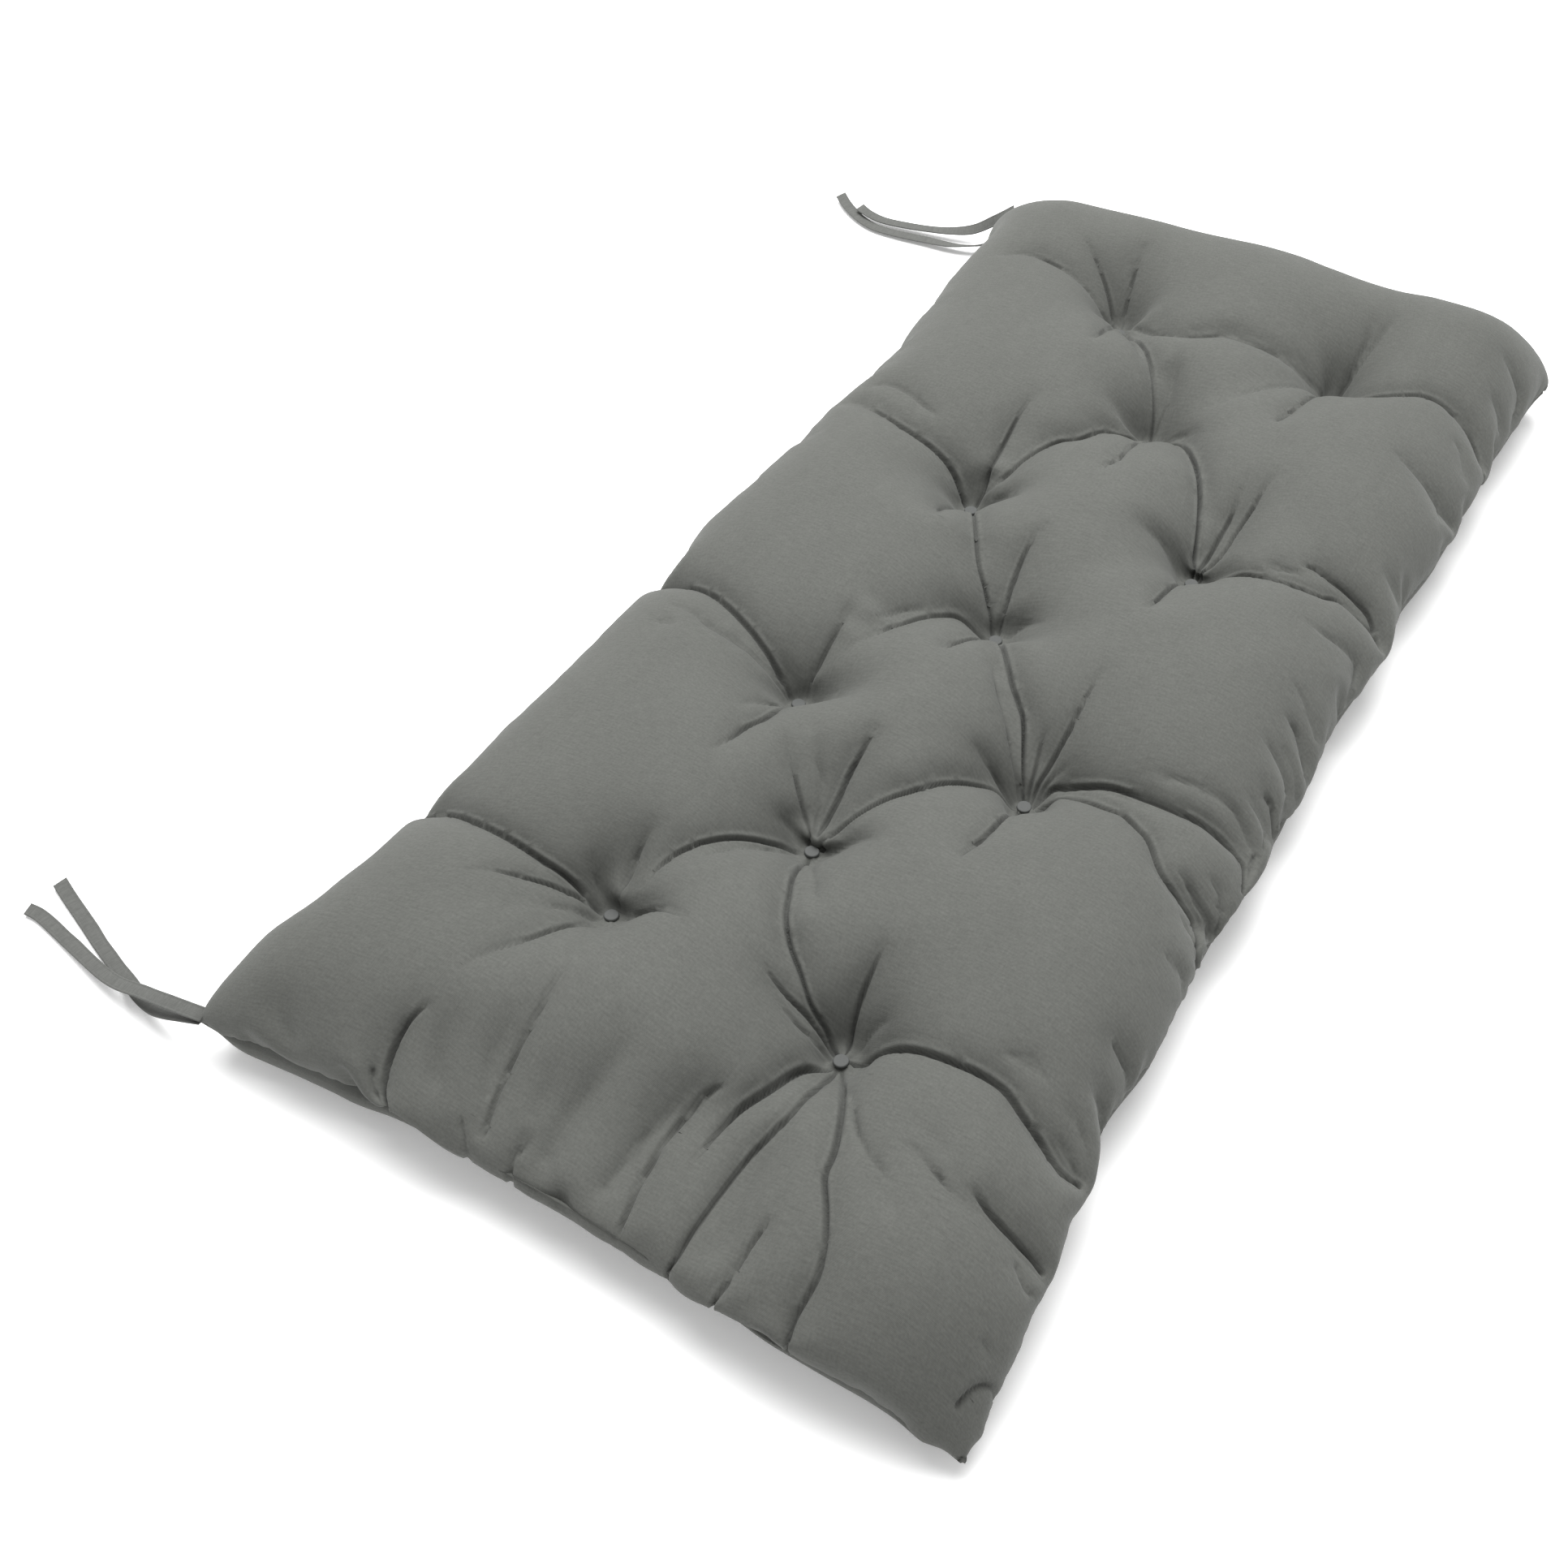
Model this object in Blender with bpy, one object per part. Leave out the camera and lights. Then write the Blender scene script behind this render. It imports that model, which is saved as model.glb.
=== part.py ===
"""Bench cushion, tufted, with tie tapes at the two corners of one long side.

Metres, +Z up. +X runs along the cushion, +Y towards the side with the ties. The origin is on the
surface that the cushion lies on, under the middle of its plan.

The cover is two panels sewn together round the edge and filled: a plump crown, an edge seam that is
drawn in between its four corners, and tufts that pull the top and the underside towards each other.
A small button sits at the bottom of each tuft on the top side.
"""

import math
from collections import namedtuple

import bmesh
import bpy
from mathutils import Matrix, Vector

NAME = "bench_cushion"

# ---- driving dimensions ----
LENGTH = 1.006  # between the seam's corners, along X
WIDTH = 0.508
CROWN_Z = 0.098  # top of the filled pillows between the tufts
EDGE_ROUND_END = 0.075  # how far in from the seam the crown is reached, at the two ends
EDGE_ROUND_SIDE = 0.070  # the same, at the two long sides
UNDER_ROUND = 0.050  # how far in from the seam the underside lies flat
SEAM_LIP = 0.0028  # thickness of the sewn edge
TUFT_Z = 0.046  # top side, at the bottom of a tuft
TUFT_REACH = 0.034  # how quickly the top rises again round a tuft
UNDER_TUFT_Z = 0.011  # underside, lifted by the tuft's thread
UNDER_TUFT_REACH = 0.022
SEAT = 0.016  # flat place at the bottom of each tuft
CREASE_DEPTH = 0.013  # trough between tufts, and from the outer ones to the sides
CREASE_HALF_WIDTH = 0.015

BUTTON_RADIUS = 0.0048
BUTTON_THICKNESS = 0.0026
GAP = 0.0003

TIE_WIDTH = 0.0098
TIE_THICKNESS = 0.0014
TIE_STEP = 0.0095  # spacing of the points along a tie

# ---- tables ----
Corner = namedtuple("Corner", "name side_x side_y x y z")
CORNERS = {
    c.name: c
    for c in (
        Corner("near_tied", -1, +1, -0.5005, 0.2565, 0.030),
        Corner("near_open", -1, -1, -0.4990, -0.2545, 0.014),
        Corner("far_open", +1, -1, 0.503, -0.224, 0.030),
        Corner("far_tied", +1, +1, 0.503, 0.247, 0.034),
    )
}

# How far the seam is drawn in from the straight line between two corners, in millimetres (less than 0: it bows
# out), and its height in metres, at stations along the side. The near and far columns run from the tied side to the
# open side, the tied and open ones from near to far.
Station = namedtuple("Station", "at near far tied open seam_z")
STATIONS = (
    Station(0.00, 0.0, 0.0, 0.0, 0.0, None),
    Station(0.05, 3.0, 8.0, 4.5, 1.8, 0.0325),
    Station(0.10, 6.0, 6.0, 17.0, 5.8, 0.0340),
    Station(0.15, 8.3, 0.0, 25.0, 13.0, 0.0349),
    Station(0.20, 10.5, 0.0, 28.0, 20.0, 0.0359),
    Station(0.26, 11.0, -1.3, 25.0, 13.0, 0.0370),
    Station(0.32, 10.0, -4.5, 27.0, 16.5, 0.0372),
    Station(0.38, 8.0, -3.0, 28.0, 15.0, 0.0375),
    Station(0.44, 6.0, -5.0, 32.5, 12.0, 0.0377),
    Station(0.50, 5.0, -5.0, 22.0, 14.5, 0.0380),
    Station(0.56, 4.5, -5.0, 25.5, 14.5, 0.0377),
    Station(0.62, 3.0, -3.0, 30.0, 11.7, 0.0373),
    Station(0.68, 2.0, 1.5, 32.0, 13.5, 0.0370),
    Station(0.74, 2.0, 2.0, 31.5, 7.5, 0.0357),
    Station(0.80, 1.6, -5.0, 25.5, 8.0, 0.0345),
    Station(0.86, 1.1, -5.0, 21.5, 11.0, 0.0333),
    Station(0.92, 0.9, -5.0, 20.5, 6.2, 0.0320),
    Station(0.96, 0.5, -5.0, 8.5, 4.0, 0.0318),
    Station(1.00, 0.0, 0.0, 0.0, 0.0, None),
)

Tuft = namedtuple("Tuft", "name row column x y")
TUFTS = (
    Tuft("1_open", 0, -1, -0.341, -0.089),
    Tuft("1_tied", 0, +1, -0.321, 0.084),
    Tuft("1_middle", 1, 0, -0.216, 0.007),
    Tuft("2_open", 2, -1, -0.116, -0.088),
    Tuft("2_tied", 2, +1, -0.110, 0.082),
    Tuft("2_middle", 3, 0, 0.010, -0.001),
    Tuft("3_open", 4, -1, 0.130, -0.091),
    Tuft("3_tied", 4, +1, 0.123, 0.079),
    Tuft("3_middle", 5, 0, 0.256, 0.000),
    Tuft("4_open", 6, -1, 0.372, -0.097),
    Tuft("4_tied", 6, +1, 0.377, 0.082),
)
TUFT_AT = {t.name: t for t in TUFTS}
ROW_PITCH = 0.1172  # mean spacing of the tuft rows along X, middle ones counted
COLUMN_PITCH = 0.0860

# The main troughs: from tuft to tuft, and from the outer tufts out to a point by the seam.
CREASES = (
    [("1_open", "1_middle"), ("1_middle", "1_tied"), ("1_middle", "2_open"), ("1_middle", "2_tied")]
    + [("2_open", "2_middle"), ("2_middle", "2_tied"), ("2_middle", "3_open"), ("2_middle", "3_tied")]
    + [("3_open", "3_middle"), ("3_middle", "3_tied"), ("3_middle", "4_open"), ("3_middle", "4_tied")]
)
Run = namedtuple("Run", "tuft x y")
CREASES_OUT = (
    Run("1_open", -0.470, -0.060),
    Run("1_open", -0.330, -0.225),
    Run("1_tied", -0.340, 0.200),
    Run("2_open", -0.135, -0.215),
    Run("2_tied", -0.095, 0.200),
    Run("3_open", 0.120, -0.210),
    Run("3_tied", 0.141, 0.198),
    Run("4_open", 0.355, -0.205),
    Run("4_tied", 0.365, 0.200),
)

# Each tie leaves its corner at the seam's height, comes down and lies on the surface.
TiePoint = namedtuple("TiePoint", "x y z roll_deg")
TIES = {
    "tie_near_upper": (
        TiePoint(-0.4986, 0.2600, 0.0322, 10),
        TiePoint(-0.4991, 0.2746, 0.0290, 10),
        TiePoint(-0.4988, 0.2918, 0.0240, 8),
        TiePoint(-0.4981, 0.3105, 0.0180, 4),
        TiePoint(-0.4979, 0.3290, 0.0120, 2),
        TiePoint(-0.4963, 0.3434, 0.0085, 0),
        TiePoint(-0.4931, 0.3591, 0.0060, 0),
        TiePoint(-0.4861, 0.3893, 0.0026, 0),
        TiePoint(-0.4801, 0.4189, 0.0018, -2),
        TiePoint(-0.4805, 0.4313, 0.0022, -6),
    ),
    "tie_near_lower": (
        TiePoint(-0.4996, 0.2610, 0.0262, -14),
        TiePoint(-0.5009, 0.2731, 0.0215, -14),
        TiePoint(-0.5015, 0.2854, 0.0160, -12),
        TiePoint(-0.5006, 0.2994, 0.0105, -8),
        TiePoint(-0.4964, 0.3156, 0.0060, -4),
        TiePoint(-0.4898, 0.3332, 0.0036, 0),
        TiePoint(-0.4834, 0.3527, 0.0022, 0),
        TiePoint(-0.4759, 0.3732, 0.0014, 0),
        TiePoint(-0.4695, 0.3895, 0.0014, 0),
        TiePoint(-0.4602, 0.4140, 0.0018, 0),
        TiePoint(-0.4539, 0.4297, 0.0026, 0),
    ),
    "tie_far_upper": (
        TiePoint(0.5041, 0.2481, 0.0365, 40),
        TiePoint(0.5035, 0.2610, 0.0255, 50),
        TiePoint(0.5013, 0.2789, 0.0130, 30),
        TiePoint(0.4960, 0.2977, 0.0085, 10),
        TiePoint(0.4914, 0.3197, 0.0062, 0),
        TiePoint(0.4873, 0.3446, 0.0052, 0),
        TiePoint(0.4853, 0.3635, 0.0054, 0),
        TiePoint(0.4874, 0.3786, 0.0064, 0),
        TiePoint(0.4914, 0.3893, 0.0072, 4),
    ),
    "tie_far_lower": (
        TiePoint(0.4965, 0.2490, 0.0275, 0),
        TiePoint(0.4928, 0.2560, 0.0170, -24),
        TiePoint(0.4887, 0.2627, 0.0095, -34),
        TiePoint(0.4825, 0.2781, 0.0068, -26),
        TiePoint(0.4794, 0.2933, 0.0052, -10),
        TiePoint(0.4780, 0.3146, 0.0040, 0),
        TiePoint(0.4756, 0.3379, 0.0032, 0),
        TiePoint(0.4748, 0.3574, 0.0028, 0),
        TiePoint(0.4767, 0.3710, 0.0028, 0),
        TiePoint(0.4823, 0.3858, 0.0032, 0),
        TiePoint(0.4920, 0.4024, 0.0042, 4),
        TiePoint(0.5031, 0.4163, 0.0054, 8),
    ),
}

Finish = namedtuple("Finish", "name colour roughness")
COVER = Finish("cover_fabric", (0.180, 0.182, 0.172, 1.0), 0.82)
TAPE = Finish("tie_fabric", (0.196, 0.198, 0.186, 1.0), 0.85)
BUTTON = Finish("button", (0.165, 0.168, 0.165, 1.0), 0.6)


# ---- small helpers ----
def clear_scene():
    for obj in list(bpy.data.objects):
        bpy.data.objects.remove(obj, do_unlink=True)


def new_collection(name):
    made = bpy.data.collections.new(name)
    bpy.context.scene.collection.children.link(made)
    return made


def material(finish):
    mat = bpy.data.materials.new(finish.name)
    mat.use_nodes = True
    shader = mat.node_tree.nodes["Principled BSDF"]
    shader.inputs["Base Color"].default_value = finish.colour
    shader.inputs["Roughness"].default_value = finish.roughness
    shader.inputs["Metallic"].default_value = 0.0
    return mat


def add_object(name, data, collection, mat):
    obj = bpy.data.objects.new(name, data)
    if not data.materials:
        data.materials.append(mat)
    collection.objects.link(obj)
    return obj


def smooth(t):
    t = min(max(t, 0.0), 1.0)
    return t * t * (3 - 2 * t)


def through(rows, at):
    """Catmull-Rom through rows of equal length, at a parameter from 0 to len(rows) - 1."""
    last = len(rows) - 1
    i = min(int(at), last - 1)
    t = at - i
    p = [rows[min(max(k, 0), last)] for k in (i - 1, i, i + 1, i + 2)]
    return [
        0.5 * (2 * b + (c - a) * t + (2 * a - 5 * b + 4 * c - d) * t * t + (3 * b - a - 3 * c + d) * t**3)
        for a, b, c, d in zip(*p)
    ]


def along_stations(at, column):
    """A station column read at a fraction along the side, smoothly."""
    rows = [(s.at, getattr(s, column)) for s in STATIONS]
    for (a, va), (b, vb) in zip(rows, rows[1:]):
        if at <= b:
            return va + (vb - va) * smooth((at - a) / (b - a))
    return rows[-1][1]


def seam_height(at, start, end):
    """Height of the seam at a fraction along a side whose corners are that high."""
    rows = [(s.at, s.seam_z if s.seam_z is not None else (start if s.at < 0.5 else end)) for s in STATIONS]
    for (a, va), (b, vb) in zip(rows, rows[1:]):
        if at <= b:
            return va + (vb - va) * smooth((at - a) / (b - a))
    return end


# ---- the outline, and the plan inside it ----
SIDES = {
    "near": ("near_tied", "near_open", Vector((1, 0, 0))),
    "far": ("far_tied", "far_open", Vector((-1, 0, 0))),
    "tied": ("near_tied", "far_tied", Vector((0, -1, 0))),
    "open": ("near_open", "far_open", Vector((0, 1, 0))),
}


def seam_point(side, at):
    first, last, inward = SIDES[side]
    a, b = CORNERS[first], CORNERS[last]
    base = Vector((a.x, a.y, 0)).lerp(Vector((b.x, b.y, 0)), at)
    point = base + inward * (along_stations(at, side) * 0.001)
    point.z = seam_height(at, a.z, b.z)
    return point


def plan_point(s, t):
    """Seam surface point: s from 0 at the near end to 1 at the far one, t from 0 at the tied side to 1 at the open one."""
    near, far = seam_point("near", t), seam_point("far", t)
    tied, open_ = seam_point("tied", s), seam_point("open", s)
    c00, c01 = seam_point("tied", 0), seam_point("open", 0)
    c10, c11 = seam_point("tied", 1), seam_point("open", 1)
    ends = near.lerp(far, s)
    sides = tied.lerp(open_, t)
    flat = c00 * ((1 - s) * (1 - t)) + c01 * ((1 - s) * t) + c10 * (s * (1 - t)) + c11 * (s * t)
    return ends + sides - flat


def grid_lines(span, seats, margin_steps, gap_steps):
    """Positions of the grid's lines across a span centred on 0: close together by the seam, with a narrow cell for
    each tuft's seat and even cells between."""
    lines = [-span / 2 + step for step in margin_steps]
    for k, seat in enumerate(seats):
        if k:
            start, end = seats[k - 1] + SEAT / 2, seat - SEAT / 2
            lines += [start + (end - start) * n / gap_steps for n in range(1, gap_steps)]
        lines += [seat - SEAT / 2, seat + SEAT / 2]
    return lines + [-x for x in reversed(lines[: len(margin_steps)])]


MARGIN_X = (0.0, 0.0035, 0.011, 0.023, 0.040, 0.062, 0.088, 0.116)
MARGIN_Y = (0.0, 0.0035, 0.011, 0.023, 0.040, 0.062, 0.089, 0.120)
ROW_SEATS = [(k - 3) * ROW_PITCH for k in range(7)]
COLUMN_SEATS = [(k - 1) * COLUMN_PITCH for k in range(3)]
LINES_X = grid_lines(LENGTH, ROW_SEATS, MARGIN_X, 5)
LINES_Y = grid_lines(WIDTH, COLUMN_SEATS, MARGIN_Y, 4)


def grid_place(x, y):
    return plan_point(x / LENGTH + 0.5, 0.5 - y / WIDTH)


def tuft_shift(x, y):
    """How far a tuft that sits off its regular place carries the plan round it along."""
    shift = Vector((0, 0, 0))
    for t in TUFTS:
        home = (ROW_SEATS[t.row], COLUMN_SEATS[t.column + 1])
        off = Vector((t.x, t.y, 0)) - grid_place(*home)
        off.z = 0
        reach = math.hypot(x - home[0], y - home[1])
        shift += off * (1 - smooth((reach - SEAT) / 0.105))
    return shift


# ---- heights ----
def quarter_round(d, radius):
    """0 at the seam with an upright tangent, 1 from radius inwards."""
    t = min(max(d / radius, 0.0), 1.0)
    return math.sqrt(1 - (1 - t) ** 2)


def tuft_pull(x, y, reach):
    """1 on a tuft's seat, falling away with distance from it."""
    pull = 0.0
    for t in TUFTS:
        away = max(0.0, math.hypot(x - t.x, y - t.y) - SEAT * 0.75)
        pull = max(pull, math.exp(-((away / reach) ** 1.15)))
    return pull


def distance_to_run(x, y, a, b):
    dx, dy = b[0] - a[0], b[1] - a[1]
    t = min(max(((x - a[0]) * dx + (y - a[1]) * dy) / (dx * dx + dy * dy), 0.0), 1.0)
    return math.hypot(x - a[0] - t * dx, y - a[1] - t * dy), t


def crease_depth(x, y):
    depth = 0.0
    for first, last in CREASES:
        a, b = TUFT_AT[first], TUFT_AT[last]
        away, _ = distance_to_run(x, y, (a.x, a.y), (b.x, b.y))
        depth = max(depth, CREASE_DEPTH * math.exp(-((away / CREASE_HALF_WIDTH) ** 2)))
    for run in CREASES_OUT:
        a = TUFT_AT[run.tuft]
        away, t = distance_to_run(x, y, (a.x, a.y), (run.x, run.y))
        fade = 1 - 0.6 * t
        depth = max(depth, CREASE_DEPTH * fade * math.exp(-((away / CREASE_HALF_WIDTH) ** 2)))
    return depth


def top_height(x, y, seam_z, d_end, d_side):
    edge = quarter_round(d_end, EDGE_ROUND_END) * quarter_round(d_side, EDGE_ROUND_SIDE)
    crown = seam_z + SEAM_LIP / 2 + (CROWN_Z - seam_z) * edge
    pull = tuft_pull(x, y, TUFT_REACH)
    height = crown + (TUFT_Z - crown) * pull
    return height - crease_depth(x, y) * edge * (1 - pull)


def under_height(x, y, seam_z, d_end, d_side):
    edge = quarter_round(d_end, UNDER_ROUND) * quarter_round(d_side, UNDER_ROUND)
    base = (seam_z - SEAM_LIP / 2) * (1 - edge)
    return base + UNDER_TUFT_Z * tuft_pull(x, y, UNDER_TUFT_REACH) ** 1.5


# ---- the filled cover ----
def build_cushion(collection, mat):
    cells_x, cells_y = len(LINES_X) - 1, len(LINES_Y) - 1
    bm = bmesh.new()
    bmesh.ops.create_grid(bm, x_segments=cells_x, y_segments=cells_y, size=1.0)
    raised = bmesh.ops.extrude_face_region(bm, geom=list(bm.faces))["geom"]
    top = {v for v in raised if isinstance(v, bmesh.types.BMVert)}
    for v in top:
        v.co.z = 1.0
    for v in bm.verts:
        i = round((v.co.x + 1) / 2 * cells_x)
        j = round((v.co.y + 1) / 2 * cells_y)
        gx, gy = LINES_X[i], LINES_Y[j]
        s, t = gx / LENGTH + 0.5, 0.5 - gy / WIDTH
        place = grid_place(gx, gy) + tuft_shift(gx, gy)
        d_end = min(s, 1 - s) * LENGTH
        d_side = min(t, 1 - t) * WIDTH
        seam_z = place.z
        height = top_height if v in top else under_height
        z = height(place.x, place.y, seam_z, d_end, d_side)
        if v not in top and z < 0.0004:
            z = 0.0  # what lies on the surface is flat
        v.co = Vector((place.x, place.y, z))
    bmesh.ops.recalc_face_normals(bm, faces=bm.faces)
    mesh = bpy.data.meshes.new("cushion")
    bm.to_mesh(mesh)
    bm.free()
    mesh.shade_smooth()
    mesh.set_sharp_from_angle(angle=math.radians(75))
    return add_object("cushion", mesh, collection, mat)


# ---- buttons ----
def button_mesh():
    """A small domed disc: a cylinder with its upper rim bevelled. Its underside is at z = 0."""
    bm = bmesh.new()
    bmesh.ops.create_cone(
        bm, cap_ends=True, segments=16, radius1=BUTTON_RADIUS, radius2=BUTTON_RADIUS, depth=BUTTON_THICKNESS
    )
    bmesh.ops.translate(bm, verts=bm.verts, vec=(0, 0, BUTTON_THICKNESS / 2))
    rim = [e for e in bm.edges if all(v.co.z > BUTTON_THICKNESS * 0.9 for v in e.verts)]
    bmesh.ops.bevel(bm, geom=rim, offset=0.0009, segments=2, profile=0.6, affect="EDGES")
    mesh = bpy.data.meshes.new("button")
    bm.to_mesh(mesh)
    bm.free()
    return mesh


def build_buttons(collection, mat):
    mesh = button_mesh()
    for t in TUFTS:
        button = add_object("button_" + t.name, mesh, collection, mat)
        button.location = (t.x, t.y, TUFT_Z + GAP)


# ---- ties ----
def tie_profile():
    """The flat section that a tie's curve carries: a strip with its corners taken off."""
    w, h = TIE_WIDTH / 2, TIE_THICKNESS / 2
    section = ((-w, 0), (-w + h, h), (w - h, h), (w, 0), (w - h, -h), (-w + h, -h))
    data = bpy.data.curves.new("tie_section", "CURVE")
    data.dimensions = "2D"
    data.fill_mode = "NONE"
    spline = data.splines.new("POLY")
    spline.points.add(len(section) - 1)
    for point, (x, y) in zip(spline.points, section):
        point.co = (x, y, 0, 1)
    spline.use_cyclic_u = True
    return data


def tie_points(rows):
    """The tie's own points, TIE_STEP apart on a smooth curve through its rows."""
    fine = [through(rows, k / 40) for k in range(40 * (len(rows) - 1) + 1)]
    points, walked, want = [fine[0]], 0.0, TIE_STEP
    for a, b in zip(fine, fine[1:]):
        walked += math.dist(a[:3], b[:3])
        if walked >= want:
            points.append(b)
            want += TIE_STEP
    if math.dist(points[-1][:3], fine[-1][:3]) > TIE_STEP / 2:
        points.append(fine[-1])
    else:
        points[-1] = fine[-1]
    return points


def build_tie(name, rows, section, collection, mat):
    data = bpy.data.curves.new(name, "CURVE")
    data.dimensions = "3D"
    data.twist_mode = "Z_UP"
    data.bevel_mode = "OBJECT"
    data.bevel_object = section
    data.use_fill_caps = True
    data.resolution_u = 1
    points = tie_points(rows)
    spline = data.splines.new("POLY")
    spline.points.add(len(points) - 1)
    for point, (x, y, z, roll) in zip(spline.points, points):
        point.co = (x, y, z, 1)
        point.tilt = math.radians(roll)
    return add_object(name, data, collection, mat)


def main():
    clear_scene()
    parts = new_collection(NAME)
    guides = new_collection("guides")
    cover, tape, button = material(COVER), material(TAPE), material(BUTTON)
    build_cushion(parts, cover)
    build_buttons(parts, button)
    section = bpy.data.objects.new("tie_section", tie_profile())
    section.hide_render = True
    section.display_type = "WIRE"
    guides.objects.link(section)
    guides.hide_render = True
    for name, rows in TIES.items():
        build_tie(name, rows, section, parts, tape)


main()
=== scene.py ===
"""Bench cushion: the look.

A filled cover of two panels of plain grey cloth sewn together round the edge, small buttons pulled into its top, and two
flat tapes at each end of one long side. Metres, +Z up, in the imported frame's own axes.

The cover is settled by a small cloth simulation in numpy. It starts from the plump shape, lets the cloth have a little
more length than that shape needs, and pulls it in along the creases that run out of the tufts.
"""

import math
from collections import namedtuple

import bpy
import numpy as np
from mathutils import Matrix, Vector


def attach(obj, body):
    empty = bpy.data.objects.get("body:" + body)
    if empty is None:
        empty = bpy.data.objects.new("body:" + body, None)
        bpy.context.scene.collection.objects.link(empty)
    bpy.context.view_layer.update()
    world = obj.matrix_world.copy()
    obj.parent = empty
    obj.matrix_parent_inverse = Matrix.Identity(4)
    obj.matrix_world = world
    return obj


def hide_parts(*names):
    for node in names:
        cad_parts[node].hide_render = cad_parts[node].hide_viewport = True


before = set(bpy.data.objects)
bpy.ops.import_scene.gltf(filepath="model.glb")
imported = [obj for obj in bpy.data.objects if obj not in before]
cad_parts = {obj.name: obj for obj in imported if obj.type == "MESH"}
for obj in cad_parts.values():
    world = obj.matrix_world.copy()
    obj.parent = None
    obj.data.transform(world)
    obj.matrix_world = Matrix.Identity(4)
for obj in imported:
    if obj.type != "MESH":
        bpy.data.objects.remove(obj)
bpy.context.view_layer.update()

# ---- camera, as the photograph was taken ----
CAMERA_AT = (-0.9118, -0.4341, 0.9903)
CAMERA_AZIMUTH, CAMERA_ELEVATION, CAMERA_ROLL = -56.5445, 46.9641, -2.0118
CAMERA_LENS = 46.62  # mm, on a sensor 36 mm wide; the picture is square


def build_camera():
    a, e, r = (math.radians(x) for x in (CAMERA_AZIMUTH, CAMERA_ELEVATION, CAMERA_ROLL))
    back = Vector((math.sin(a) * math.cos(e), -math.cos(a) * math.cos(e), math.sin(e)))
    level = back.cross(Vector((0, 0, 1))).normalized() * -1
    upright = back.cross(level)
    right = level * math.cos(r) + upright * math.sin(r)
    up = -level * math.sin(r) + upright * math.cos(r)
    data = bpy.data.cameras.new("camera")
    data.sensor_fit = "HORIZONTAL"
    data.sensor_width = 36.0
    data.lens = CAMERA_LENS
    data.clip_start = 0.05
    camera = bpy.data.objects.new("camera", data)
    place = Matrix([[right[k], up[k], back[k]] for k in range(3)]).to_4x4()
    place.translation = Vector(CAMERA_AT)
    camera.matrix_world = place
    bpy.context.scene.collection.objects.link(camera)
    bpy.context.scene.camera = camera


build_camera()

# ---- materials ----
COVER_GREY = (0.0938, 0.0960, 0.0886)
TAPE_GREY = (0.1080, 0.1100, 0.1040)


def shade(colour, share):
    return tuple(c * share for c in colour) + (1.0,)


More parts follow.
